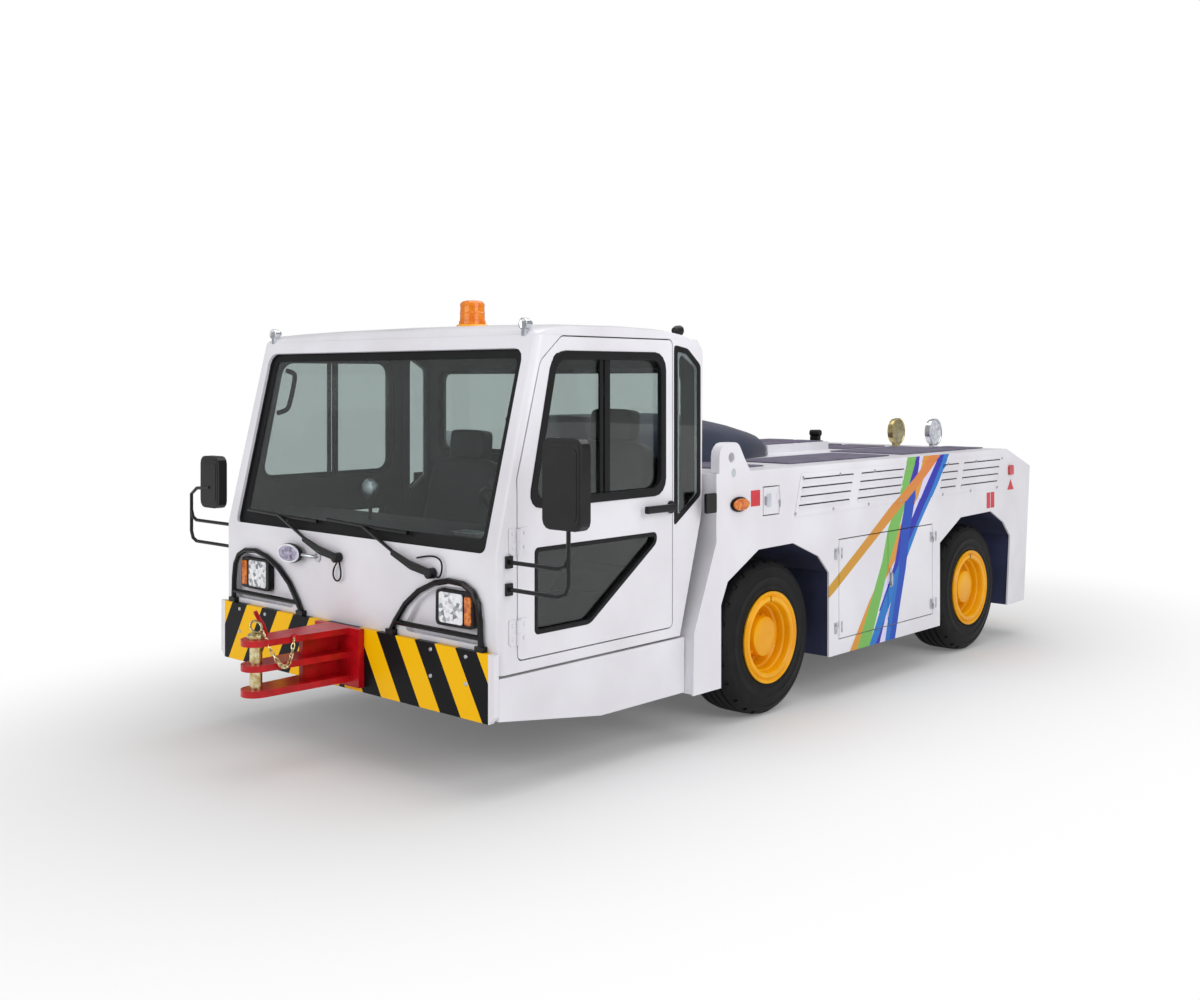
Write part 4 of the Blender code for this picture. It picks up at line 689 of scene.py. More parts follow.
def side_board(side, x):
    return board((0, 1, 0), (0, 0, 1), (side, 0, 0), (side * x, FRONT_AXLE, 0))


def front_board(y):
    return board((1, 0, 0), (0, 0, 1), (0, -1, 0), (0, y, 0))


def rear_board(y):
    return board((1, 0, 0), (0, 0, 1), (0, 1, 0), (0, y, 0))


def deck_board(z):
    return board((1, 0, 0), (0, 1, 0), (0, 0, 1), (0, FRONT_AXLE, z))


def on_board(where, point):
    turn, origin = where
    return turn.to_3x3() @ Vector(point) + origin


def draw_loop(name, corners, where, radius, fill):
    """A circle whose points are dragged to the corners and then rounded: it is flat on its board."""
    bpy.ops.object.select_all(action="DESELECT")
    bpy.ops.mesh.primitive_circle_add(vertices=len(corners), radius=1, fill_type=fill)
    obj = bpy.context.active_object
    obj.name = obj.data.name = name
    for vertex, corner in zip(obj.data.vertices, corners):
        vertex.co = on_board(where, (*corner, 0.0))
    if radius:
        edit(obj)
        bpy.ops.mesh.bevel(
            offset=radius, offset_type="OFFSET", segments=4, affect="VERTICES", clamp_overlap=True
        )
        leave()
    return obj


def thicken(obj, where, thick):
    edit(obj)
    shift = where[0].to_3x3() @ Vector((0, 0, thick))
    bpy.ops.mesh.extrude_region_move(TRANSFORM_OT_translate={"value": shift})
    bpy.ops.mesh.select_all(action="SELECT")
    bpy.ops.mesh.normals_make_consistent(inside=False)
    leave()
    return obj


def plate(name, corners, where, thick, radius=0.0):
    """An outline with rounded corners, given a thickness outwards from its board."""
    return thicken(draw_loop(name, corners, where, radius, "NGON"), where, thick)


def ring(name, outer, inner, where, thick, radius=0.02):
    """The band between two outlines with the same number of corners."""
    hole = draw_loop(name + "_hole", inner, where, radius * 0.75, "NOTHING")
    obj = draw_loop(name, outer, where, radius, "NOTHING")
    hole.select_set(True)
    bpy.context.view_layer.objects.active = obj
    obj.select_set(True)
    bpy.ops.object.join()
    edit(obj)
    bpy.ops.mesh.bridge_edge_loops()
    leave()
    return thicken(obj, where, thick)


def grow(corners, by):
    """The outline with each side moved outwards."""
    count, result = len(corners), []
    area = sum(a[0] * b[1] - b[0] * a[1] for a, b in zip(corners, corners[1:] + corners[:1]))
    turn = 1 if area > 0 else -1
    for k in range(count):
        before, here, after = (Vector(corners[(k + s) % count]) for s in (-1, 0, 1))
        one, two = (here - before).normalized(), (after - here).normalized()
        n1, n2 = Vector((one.y, -one.x)) * turn, Vector((two.y, -two.x)) * turn
        result.append(tuple(here + (n1 + n2) * by / (1 + n1.dot(n2))))
    return result


def rect(u0, u1, v0, v1):
    return [(u0, v0), (u1, v0), (u1, v1), (u0, v1)]


def oval(u, v, half_u, half_v, count=20):
    steps = [2 * math.pi * k / count for k in range(count)]
    return [(u + half_u * math.cos(t), v + half_v * math.sin(t)) for t in steps]


def turned(name, profile, where, steps=32):
    """A closed profile of (outwards, radius), spun round the board's outward axis at a point on it."""
    turn, origin = where
    obj = draw_loop(name, [(r, 0) for a, r in profile], where, 0, "NOTHING")
    for vertex, (a, r) in zip(obj.data.vertices, profile):
        vertex.co = on_board(where, (r, 0, a))
    edit(obj)
    bpy.ops.mesh.spin(steps=steps, angle=2 * math.pi, center=origin, axis=turn.to_3x3() @ Vector((0, 0, 1)))
    bpy.ops.mesh.select_all(action="SELECT")
    bpy.ops.mesh.remove_doubles(threshold=0.00002)
    bpy.ops.mesh.normals_make_consistent(inside=False)
    leave()
    return obj


def at(where, u, v, w=0.0):
    """The same board with its origin moved to a place on it."""
    return where[0], on_board(where, (u, v, w))


def tube(name, points, radius, smooth_steps=6):
    """A bent rod or hose: a path with a round section, made into a mesh."""
    bpy.ops.object.select_all(action="DESELECT")
    bpy.ops.curve.primitive_nurbs_path_add()
    obj = bpy.context.active_object
    obj.name = name
    curve = obj.data
    curve.splines.clear()
    spline = curve.splines.new("NURBS")
    spline.points.add(len(points) - 1)
    for point, place in zip(spline.points, points):
        point.co = (*place, 1)
    spline.use_endpoint_u = True
    spline.order_u = 3
    spline.resolution_u = smooth_steps
    curve.bevel_depth = radius
    curve.bevel_resolution = 3
    curve.use_fill_caps = True
    only(obj)
    bpy.ops.object.convert(target="MESH")
    return bpy.context.active_object


def block(name, low, high):
    """A cube added at its size and place."""
    low, high = Vector(low), Vector(high)
    bpy.ops.object.select_all(action="DESELECT")
    bpy.ops.mesh.primitive_cube_add(size=1, location=(low + high) / 2, scale=high - low)
    obj = bpy.context.active_object
    obj.name = obj.data.name = name
    bpy.ops.object.transform_apply(location=True, rotation=True, scale=True)
    return obj


def join(name, pieces):
    bpy.ops.object.select_all(action="DESELECT")
    for obj in pieces:
        obj.select_set(True)
    bpy.context.view_layer.objects.active = pieces[0]
    bpy.ops.object.join()
    obj = bpy.context.active_object
    obj.name = obj.data.name = name
    return obj


def done(obj, material, body="vehicle", radius=0.0008, segments=2, replaces=()):
    """Puts the object's origin at the world's, rounds its edges, gives it its finish and its body."""
    only(obj)
    bpy.ops.object.transform_apply(location=True, rotation=True, scale=True)
    if radius:
        round_edges(obj, radius, segments)
    else:
        smooth(obj)
    obj.data.materials.clear()
    obj.data.materials.append(material)
    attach(obj, body)
    if replaces:
        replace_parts(obj, *replaces)
    return obj


def other_side(obj):
    """The same piece for the right side of the tug, with its own mesh."""
    copy = duplicate(obj, obj.name.replace("left", "right"))
    edit(copy)
    bpy.ops.transform.resize(value=(-1, 1, 1), center_override=(0, 0, 0))
    bpy.ops.mesh.flip_normals()
    leave()
    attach(copy, obj["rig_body"].replace("left", "right"))
    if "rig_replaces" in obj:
        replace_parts(copy, *[node.replace("left", "right") for node in obj["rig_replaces"]])


print("the windscreen's board leans back", round(math.degrees(SCREEN_LEAN), 1), "degrees")


# %% [markdown]
# ## Tyres
#
# These are cross-ply industrial tyres: nearly smooth walls with a few moulded rings, and a tread that is cut
# by grooves round it and by short notches at its shoulders. The section is spun once and the notches are
# pressed into every fourth step of the shoulder. The wall comes up flush with the rim's lip.

# %% Tyres
TYRE_STEPS = 96
TYRE_HALF_SECTION = (
    (0.086, 0.1905), (0.100, 0.197), (0.116, 0.206), (0.1205, 0.216), (0.1215, 0.226), (0.1230, 0.228),
    (0.1230, 0.233), (0.1212, 0.236), (0.1205, 0.262), (0.1215, 0.264), (0.1215, 0.269), (0.1195, 0.272),
    (0.1165, 0.292), (0.1120, 0.308), (0.1140, 0.312), (0.1110, 0.318), (0.1030, 0.333), (0.0880, 0.345),
    (0.0640, 0.3500), (0.0600, 0.3425), (0.0530, 0.3425), (0.0500, 0.3508), (0.0240, 0.3510),
    (0.0215, 0.3440), (0.0145, 0.3440), (0.0120, 0.3511),
)
NOTCH_DEPTH = 0.006
near_hub = at(side_board(LEFT, TYRE_X), 0.0, AXLE_HEIGHT)
section = [*TYRE_HALF_SECTION, *[(-a, r) for a, r in reversed(TYRE_HALF_SECTION)]]
tyre = turned("tyre_detail_front_left", section, near_hub, TYRE_STEPS)
edit(tyre)
bpy.ops.mesh.select_all(action="DESELECT")
bpy.ops.object.mode_set(mode="OBJECT")
for face in tyre.data.polygons:
    spot = face.center - near_hub[1]
    out, radius = abs(spot.x), math.hypot(spot.y, spot.z)
    step = round(math.atan2(spot.z, spot.y) / (2 * math.pi) * TYRE_STEPS)
    face.select = out > 0.088 and 0.330 < radius < 0.350 and step % 4 == 0
bpy.ops.object.mode_set(mode="EDIT")
bpy.ops.mesh.extrude_region_shrink_fatten(TRANSFORM_OT_shrink_fatten={"value": -NOTCH_DEPTH})
leave()
done(tyre, tyre_rubber, "front_wheel_left", radius=0, replaces=("tyre_front_left",))

# %% [markdown]
# ## Rims
#
# A rim for heavy tyres is made in pieces: the well, a loose side ring and a split lock ring that holds it. So
# the visible face is a set of rings, one behind the other, round a deep bowl, and a round cap closes the hub.
# Wheel nuts are modelled once and copied round the circle they sit on.

# %% Rims
RIM_SECTION = (
    (-0.086, 0.189), (0.086, 0.189), (0.098, 0.192), (0.112, 0.200), (0.120, 0.206), (0.126, 0.206),
    (0.129, 0.203), (0.127, 0.197), (0.120, 0.191), (0.118, 0.187), (0.121, 0.184), (0.1265, 0.180),
    (0.127, 0.166), (0.122, 0.160), (0.108, 0.156), (0.096, 0.155), (0.092, 0.150), (0.088, 0.148),
    (0.060, 0.146), (0.056, 0.142), (0.052, 0.136), (0.024, 0.128), (0.014, 0.118), (0.012, 0.094),
    (0.070, 0.091), (0.088, 0.090), (0.094, 0.087), (0.097, 0.080), (0.098, 0.040), (0.098, 0.0),
    (0.000, 0.0), (0.000, 0.110), (-0.012, 0.160), (-0.100, 0.170), (-0.108, 0.176), (-0.110, 0.200),
    (-0.104, 0.206), (-0.095, 0.200),
)
rim = turned("rim_detail_front_left", RIM_SECTION, near_hub, 96)
NUT_CIRCLE, NUTS = 0.106, 8
nuts = []
for k in range(NUTS):
    angle = 2 * math.pi * k / NUTS
    spot = at(near_hub, NUT_CIRCLE * math.cos(angle), NUT_CIRCLE * math.sin(angle), 0.010)
    nuts.append(plate(f"nut_{k}", oval(0, 0, 0.012, 0.012, 6), spot, 0.022, 0.0))
# painted shade: a thin black strip on the lock ring stands for the dark gap of its split
lock_split = plate("lock_split", rect(-0.003, 0.003, 0.162, 0.184), at(near_hub, 0, 0, 0.1262), 0.0016)
valve = tube(
    "valve",
    [on_board(near_hub, p) for p in ((-0.146, -0.05, 0.06), (-0.142, -0.05, 0.10), (-0.135, -0.045, 0.118))],
    0.0045,
)
rim = join("rim_detail_front_left", [rim, *nuts, valve])
done(rim, yellow_enamel, "front_wheel_left", radius=0, replaces=("rim_front_left",))
done(lock_split, black_abs, "front_wheel_left", radius=0)
lock_split.name = "rim_lock_split_front_left"

for source in (tyre, rim, lock_split):
    copy = duplicate(source, source.name.replace("front", "rear"))
    edit(copy)
    bpy.ops.transform.translate(value=(0, REAR_AXLE - FRONT_AXLE, 0))
    leave()
    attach(copy, "rear_wheel_left")
    if source is not lock_split:
        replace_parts(copy, *[node.replace("front", "rear") for node in source["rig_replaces"]])
    other_side(copy)
    other_side(source)
print("four wheels,", len(tyre.data.polygons), "faces in a tyre")

# %% [markdown]
# ## Window seals
#
# The doors' panes sit in wide rubber seals, and the glued panes have a fired black border. Both are bands
# between two outlines: the opening grown a little outwards, and the same opening moved inwards. The screen's
# border is wider below, where the wipers park.

# %% Seals and borders
lean_cos, lean_sin = math.cos(SCREEN_LEAN), math.sin(SCREEN_LEAN)
SCREEN_SINK = 0.0229     # the glass lies this far behind the pillars
screen_board = board(
    (1, 0, 0), (0, lean_sin, lean_cos), (0, -lean_cos, lean_sin),
    Vector((0, CAB_FACE + 0.0003, WAIST)) + Vector((0, lean_cos, -lean_sin)) * SCREEN_SINK,
)
screen_low, screen_high = (0.881 - WAIST) / lean_cos, (1.628 - WAIST) / lean_cos
screen_outer = [(-0.796, screen_low), (0.796, screen_low), (0.809, screen_high), (-0.809, screen_high)]
screen_inner = [
    (-0.752, screen_low + 0.052), (0.755, screen_low + 0.052),
    (0.768, screen_high - 0.032), (-0.766, screen_high - 0.032),
]
border = ring("windscreen_border", screen_outer, screen_inner, screen_board, 0.0012, 0.03)
done(border, seal_rubber, radius=0)

DOOR_WINDOW = [(-1.545, 1.044), (-1.416, 1.612), (-0.756, 1.614), (-0.756, 1.046)]
DOOR_LIGHT = [(-1.515, 0.890), (-0.810, 0.890), (-0.810, 0.850), (-1.215, 0.577), (-1.515, 0.577)]
QUARTER = [(-0.694, 0.905), (-0.694, 1.655), (-0.600, 1.640), (-0.512, 1.572), (-0.512, 1.022)]
PANE_FACE = 0.8585
seal = ring(
    "door_window_seal_left", grow(DOOR_WINDOW, 0.008), grow(DOOR_WINDOW, -0.026),
    side_board(LEFT, PANE_FACE), 0.0215, 0.07,
)
other_side(done(seal, seal_rubber, "cab_door_left", radius=0.005, segments=3))
seal = ring(
    "door_light_seal_left", grow(DOOR_LIGHT, 0.004), grow(
        DOOR_LIGHT, -0.014
    ), side_board(LEFT, PANE_FACE), 0.0185, 0.02
)
other_side(done(seal, seal_rubber, "cab_door_left", radius=0.003))
band = ring(
    "quarter_light_border_left", grow(
        QUARTER, -0.001
    ), grow(QUARTER, -0.024), side_board(LEFT, 0.8746), 0.0012, 0.015
)
other_side(done(band, seal_rubber, radius=0))
for name, y0, y1 in (("fixed", -1.1195, -1.0865), ("sliding", -1.148, -1.128)):
    divider = plate(
        f"door_window_{name}_divider_left", rect(y0, y1, 1.066, 1.592), side_board(LEFT, PANE_FACE), 0.010
    )
    other_side(done(divider, seal_rubber, "cab_door_left", radius=0.002))
REAR_WINDOW = rect(-0.775, 0.775, 1.150, 1.560)
rear_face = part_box("rear_window")[1].y
band = ring(
    "rear_window_seal", grow(REAR_WINDOW, 0.010), grow(REAR_WINDOW, -0.022), rear_board(rear_face), 0.018,
    0.05
)
done(band, seal_rubber, radius=0.003)

# %% [markdown]
# ## Louvre panel
#
# A bolted panel along each side lets the electronics breathe. Its louvres are pressed out of the sheet: each
# is a slit with the metal below it bulged outwards. A wedge with rounded ends makes the bulge. The shade inside
# each slit and in the open rear end of each louvre is painted: a thin black strip lies where the opening shows
# dark.

# %% Louvres and their screws
PANEL_FACE = BODY_SIDE + 0.0004
LOUVRE_PANEL = [(0.13, 0.884), (2.235, 0.898), (2.295, 1.082), (0.190, 1.082)]
LOUVRE_ROWS = (1.046, 1.006, 0.966, 0.926)
# the top row's front and rear ends; each lower row starts a little further forward
LOUVRE_GROUPS = ((0.206, 0.650), (0.722, 1.144), (1.572, 1.752), (1.812, 2.262))
ROW_SHIFT = -0.013
TOP_SCREWS = (0.204, 0.526, 0.850, 1.174, 1.628, 1.956, 2.286)
LOW_SCREWS = (0.140, 0.464, 0.790, 1.110, 1.564, 1.890, 2.220)
panel = plate("louvre_panel_left", LOUVRE_PANEL, side_board(LEFT, PANEL_FACE), 0.0022, 0.012)
other_side(done(panel, livery_enamel, radius=0.0008))
hoods, slit_shade_strips = [], []
for front_end, rear_end in LOUVRE_GROUPS:
    for row, z in enumerate(LOUVRE_ROWS):
        y0, y1 = front_end + row * ROW_SHIFT, rear_end + row * ROW_SHIFT
        face = side_board(LEFT, PANEL_FACE + 0.0018)
        hood = plate(f"hood_{y0:.2f}_{row}", rect(y0, y1, z - 0.014, z + 0.006), face, 0.008, 0.006)
        for vertex in hood.data.vertices:
            if vertex.co.z < z - 0.004:
                vertex.co.x = min(vertex.co.x, BODY_SIDE + 0.0032)
            elif vertex.co.z < z + 0.003:
                vertex.co.x = min(vertex.co.x, BODY_SIDE + 0.0080)
        hoods.append(hood)
        # painted shade: a black strip above each louvre, where its slit would be dark inside
        slit_shade_strips.append(
            plate(
                f"slit_{y0:.2f}_{row}", rect(y0 + 0.002, y1 - 0.002, z + 0.004, z + 0.012), face, 0.0008,
                0.003
            )
        )
        # painted shade: a black patch at the louvre's rear end, where its opening would be dark
        slit_shade_strips.append(
            plate(
                f"end_{y0:.2f}_{row}", rect(y1 - 0.012, y1 - 0.003, z - 0.006, z + 0.010), face, 0.0009,
                0.003
            )
        )
other_side(done(join("louvre_hoods_left", hoods), livery_enamel, radius=0.0012))
# the louvres' painted shade strips, joined into one piece
other_side(done(join("louvre_slits_left", slit_shade_strips), black_abs, radius=0))
screws = []
for z, places in ((1.060, TOP_SCREWS), (0.898, LOW_SCREWS)):
    for y in places:
        head = at(side_board(LEFT, PANEL_FACE + 0.002), y, z)
        screws.append(
            turned(
                f"screw_{y}_{z}", [(0, 0), (0, 0.008), (0.002, 0.0075), (0.0032, 0.005), (0.0035, 0)], head,
                12
            )
        )
other_side(done(join("louvre_screws_left", screws), bright_steel, radius=0))
print(len(hoods), "louvres and", len(screws), "screws on each side")

# %% [markdown]
# ## Deck matting
#
# People stand on the deck, so it is covered with ribbed matting in long fields, with the painted steel left
# bare between them. Each field is a thin plate with rounded corners.

# %% Deck mats
HATCH_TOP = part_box("rear_body")[1].z
MATS = (
    # name, x0, x1, y0, y1 from the front axle, height it lies on
    ("outer_front_left", 0.445, 0.790, 0.300, 1.240, DECK),
    ("outer_rear_left", 0.340, 0.790, 1.380, 2.120, DECK),
    ("outer_end_left", 0.560, 0.790, 2.150, 2.330, DECK),
    ("hood_side_left", 0.440, 0.780, -0.220, 0.100, DECK),
    ("middle_rear_left", 0.025, 0.270, 1.660, 2.130, DECK),
    ("hatch_front_left", 0.012, 0.185, 1.010, 1.280, HATCH_TOP),
    ("hatch_rear_left", 0.012, 0.185, 1.310, 1.575, HATCH_TOP),
)
for name, x0, x1, y0, y1, z in MATS:
    mat = plate("mat_" + name, rect(x0, x1, y0, y1), deck_board(z + 0.0003), 0.005, 0.012)
    other_side(done(mat, deck_matting, radius=0.001))
print(2 * len(MATS), "mats")

# %% [markdown]
# ## Headlamps
#
# A combination lamp: a black bezel with a square main lamp beside an upright amber indicator. The main lamp is
# a bowl of vacuum-plated plastic behind pressed glass. The glass scatters what the bowl throws back, so it is
# drawn silvery and in facets, and the bowl and its bulb stand behind it.

# %% Headlamps
lamp_low, lamp_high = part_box("headlamp_left")
LAMP_BACK = lamp_high.y
LAMP_OUTLINE = [(0.538, 0.596), (0.748, 0.600), (0.744, 0.733), (0.540, 0.731)]
MAIN_LENS = rect(0.5600, 0.6880, 0.610, 0.7215)
INDICATOR = rect(0.7000, 0.7370, 0.612, 0.7180)
lamp_face = front_board(lamp_low.y)
base = plate("lamp_base", grow(LAMP_OUTLINE, -0.001), front_board(LAMP_BACK - 0.001), 0.006, 0.02)
wall = ring(
    "lamp_wall", LAMP_OUTLINE, grow(rect(0.553, 0.735, 0.606, 0.725), 0.002),
    front_board(LAMP_BACK - 0.004), 0.026, 0.02
)
rib = block("lamp_rib", (0.690, lamp_low.y, 0.604), (0.698, LAMP_BACK - 0.004, 0.728))
other_side(
    done(
        join("headlamp_housing_left", [base, wall, rib]), black_abs, radius=0.002,
        replaces=("headlamp_left",)
    )
)
bowl_middle = at(lamp_face, 0.624, 0.6657, -0.022)
bowl = turned(
    "headlamp_bowl_left",
    [
        (0.0, 0.0), (0.001, 0.018), (0.006, 0.034), (0.014, 0.048), (0.019, 0.0545), (0.017, 0.056),
        (0.004, 0.04), (-0.002, 0.018), (-0.003, 0.0)
    ],
    bowl_middle, 32,
)
other_side(done(bowl, aluminised_bowl, radius=0))
bulb = turned(
    "headlamp_bulb_left", [(0, 0), (0, 0.006), (0.010, 0.006), (0.014, 0.004), (0.015, 0)],
    at(bowl_middle, 0, 0, 0.001), 16
)
other_side(done(bulb, clear_lens, radius=0))
lens = plate("headlamp_lens_left", grow(MAIN_LENS, 0.001), at(lamp_face, 0, 0, -0.002), 0.004, 0.012)
other_side(done(lens, faceted_glass, radius=0.001))
indicator = plate("indicator_left", INDICATOR, at(lamp_face, 0, 0, -0.010), 0.016, 0.008)
other_side(done(indicator, amber_lens, radius=0.004, segments=3))
print("headlamps at z", round(bowl_middle[1].z, 3))

# %% [markdown]
# ## Door hardware
#
# Each cab door turns on two flat hinges: one leaf is bolted to the front pillar and one to the door. The pull
# handle is a black bar. The side hatches have small bright hinges at their outer ends and a lever in the
# middle.

# %% Hinges, handles and levers
def bolt(name, where, size=0.008):
    return plate(name, oval(0, 0, size, size, 6), where, size * 0.6)


for index, (z0, z1) in enumerate(((0.883, 0.9745), (0.5545, 0.6445))):
    for leaf, body, y0, y1 in (
        ("pillar", "vehicle", -1.6525, -1.6165), ("leaf", "cab_door_left", -1.5965, -1.555)
    ):
        face = side_board(LEFT, CAB_SIDE + 0.0004)
        strip = plate(f"door_hinge_{leaf}_{index}_left", rect(y0, y1, z0, z1), face, 0.0045, 0.005)
        other_side(done(strip, white_enamel, body, radius=0.001))
        heads = [bolt(f"b{z}", at(face, (y0 + y1) / 2, z, 0.0045), 0.0075) for z in (z0 + 0.02, z1 - 0.02)]
        other_side(
            done(join(f"door_hinge_bolts_{leaf}_{index}_left", heads), white_enamel, body, radius=0.0008)
        )

handle_low, handle_high = (0.8955, FRONT_AXLE - 0.912, 0.974), (0.9172, FRONT_AXLE - 0.728, 1.004)
handle = block("door_handle_left", handle_low, handle_high)
other_side(done(handle, black_abs, "cab_door_left", radius=0.006, segments=3))
cover = plate(
    "door_lock_plate_left", oval(-0.722, 0.988, 0.020, 0.026), side_board(LEFT, CAB_SIDE + 0.0004), 0.014
)
other_side(done(cover, black_abs, "cab_door_left", radius=0.003))

for word, body, y, inwards in (
    ("front", "access_door_front_left", 0.512, 1), ("rear", "access_door_rear_left", 1.460, -1)
):
    for index, z in enumerate((0.330, 0.683)):
        face = side_board(LEFT, PANEL_FACE)
        for leaf, owner, way in (("fixed", "vehicle", -inwards), ("moving", body, inwards)):
            y0, y1 = sorted((y + way * 0.012, y + way * 0.036))
            strip = plate(
                f"hatch_hinge_{word}_{leaf}_{index}_left", rect(y0, y1, z - 0.026, z + 0.026), face, 0.003,
                0.004
            )
            heads = [bolt(f"h{v}", at(face, (y0 + y1) / 2, v, 0.003), 0.005) for v in (z - 0.013, z + 0.013)]
            piece = join(f"hatch_hinge_{word}_{leaf}_{index}_left", [strip, *heads])
            other_side(done(piece, bright_steel, owner, radius=0.0006))
lever_plate = plate(
    "hatch_lever_plate_left", rect(0.998, 1.022, 0.468, 0.562), side_board(LEFT, PANEL_FACE), 0.003, 0.006
)
other_side(done(lever_plate, bright_steel, "access_door_rear_left", radius=0.0008))
lever = plate(
    "hatch_lever_left", rect(1.0035, 1.0165, 0.474, 0.540), side_board(LEFT, PANEL_FACE + 0.003), 0.009,
    0.005
)
other_side(done(lever, bright_steel, "access_door_rear_left", radius=0.002))

# %% [markdown]
# ## Marker lamps and blank labels
#
# An oval amber marker stands at the front of the side, with a blank red label beside it. Further back there
# are a blank red label, a reflector and a warning triangle. Labels are film: plates half a millimetre thick.

# %% Side lamps and labels
side_face = side_board(LEFT, PANEL_FACE)
base = plate("marker_base_left", oval(-0.302, 0.973, 0.062, 0.033, 24), side_face, 0.008)
other_side(done(base, black_abs, radius=0.002))
dome = plate(
    "marker_lens_left", oval(-0.302, 0.973, 0.054, 0.026, 24), side_board(LEFT, PANEL_FACE + 0.007), 0.018
)
other_side(done(dome, amber_lens, radius=0.010, segments=4))
buffer = plate("front_buffer_left", rect(-0.550, -0.476, 0.950, 1.034), side_face, 0.014, 0.008)
other_side(done(buffer, black_abs, radius=0.003))
LABELS = (
    ("front", rect(-0.210, -0.140, 0.956, 1.026), label_red),
    ("rear", rect(2.094, 2.136, 0.786, 0.874), label_red),
    ("rear_second", rect(2.144, 2.190, 0.786, 0.874), label_red),
    ("triangle", [(2.360, 0.874), (2.446, 0.874), (2.403, 0.934)], label_red),
    ("eye", oval(-0.337, 1.110, 0.016, 0.020), label_pale),
)
for name, corners, material in LABELS:
    label = plate(f"label_{name}_left", corners, side_face, 0.0006, 0.003)
    other_side(done(label, material, radius=0))
flap_label = plate(
    "charging_flap_label", rect(-0.088, -0.052, 0.945, 1.005), side_board(LEFT, BODY_SIDE + 0.0004), 0.0006,
    0.004
)
done(flap_label, label_pale, "charging_flap", radius=0)
flap_pull = plate(
    "charging_flap_pull", rect(-0.104, -0.096, 0.955, 0.995), side_board(LEFT, BODY_SIDE + 0.0004), 0.010,
    0.003
)
done(flap_pull, bright_steel, "charging_flap", radius=0.002)
rear_marker = plate("rear_marker_left", rect(2.370, 2.430, 0.960, 1.016), side_face, 0.010, 0.008)
other_side(done(rear_marker, red_lens, radius=0.003))
print(len(LABELS), "blank labels on each side")

# %% [markdown]
# ## Seats
#
# Two foam seats in black vinyl. A cushion starts as a block that is cut into a grid; its middle is crowned and
# a stitched channel is pressed in along each bolster, and one subdivision turns it into a soft closed form.
# The back is made the same way, lying down, and is then tilted into place.

# %% Seats
SEAT_HALF = 0.233
BACK_LEAN = math.radians(10.7)


def pad(name, half_x, length, thick, crown, channel):
    """A padded form: x across, y along its length and z up from its underside."""
    obj = block(name, (-half_x, 0, 0), (half_x, length, thick))
    edit(obj)
    bpy.ops.mesh.subdivide(number_cuts=9)
    leave()
    for vertex in obj.data.vertices:
        u, v = vertex.co.x / half_x, 2 * vertex.co.y / length - 1
        if vertex.co.z > thick * 0.95:
            vertex.co.z += crown * (1 - u * u) * (1 - v * v)
            if 0.55 < abs(u) < 0.65 and abs(v) < 0.85:
                vertex.co.z -= channel
            if abs(u) > 0.75:
                vertex.co.z += channel * 0.8
        squeeze = 1 - 0.045 * (u * u) * (v * v)
        vertex.co.x *= squeeze
        vertex.co.y = length / 2 + (vertex.co.y - length / 2) * squeeze
    edit(obj)
    bpy.ops.mesh.vertices_smooth(factor=0.5, repeat=5)
    leave()
    apply_modifier(obj, "SUBSURF", levels=1, render_levels=1)
    return obj


def tilt_into(obj, x, y, z, angle):
    """Turns the piece about its own x axis by the angle and puts its start at a place."""
    obj.matrix_world = Matrix.Translation((x, FRONT_AXLE + y, z)) @ Matrix.Rotation(angle, 4, "X")
    return obj


for word, x in (("driver", 0.490), ("passenger", -0.420)):
    seat = word + "_seat"
    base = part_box(seat)[1].z - 0.770
    cushion = tilt_into(
        pad(seat + "_cushion", SEAT_HALF, 0.375, 0.086, 0.014, 0.007), x, -1.078, base + 0.034,
        math.radians(-2)
    )
    back = tilt_into(
        pad(seat + "_back", SEAT_HALF, 0.560, 0.088, 0.016, 0.008), x, -0.690, base + 0.075,
        math.radians(90) - BACK_LEAN
    )
    head = tilt_into(
        pad(seat + "_headrest", 0.120, 0.145, 0.078, 0.010, 0.0), x, -0.590, base + 0.622,
        math.radians(90) - BACK_LEAN / 2
    )
    for piece, fill in ((cushion, 0.8), (back, 0.8), (head, 0.9)):
        done(piece, seat_vinyl, radius=0)
    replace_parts(cushion, seat)
    box = block(
        seat + "_box", (x - 0.190, FRONT_AXLE - 1.000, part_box(seat)[0].z),
        (x + 0.190, FRONT_AXLE - 0.740, base + 0.036)
    )
    done(box, dashboard_abs, radius=0.012, segments=3)
    stalks = [
        tube(
            f"s{s}", [(x + s, FRONT_AXLE - 0.628, base + 0.56), (x + s, FRONT_AXLE - 0.622, base + 0.66)],
            0.006
        )
        for s in (-0.05, 0.05)
    ]
    done(join(seat + "_headrest_stalks", stalks), bright_steel, radius=0)
print("two seats")

# %% [markdown]
# ## Beacon, lamps on the roof and lamps on the deck
#
# The beacon's lens is a moulded cup with upright flutes that spread the flash. It is spun, and then every
# second strip of its wall is pressed inwards. The work lamps are shallow spun pans with a rolled rim.

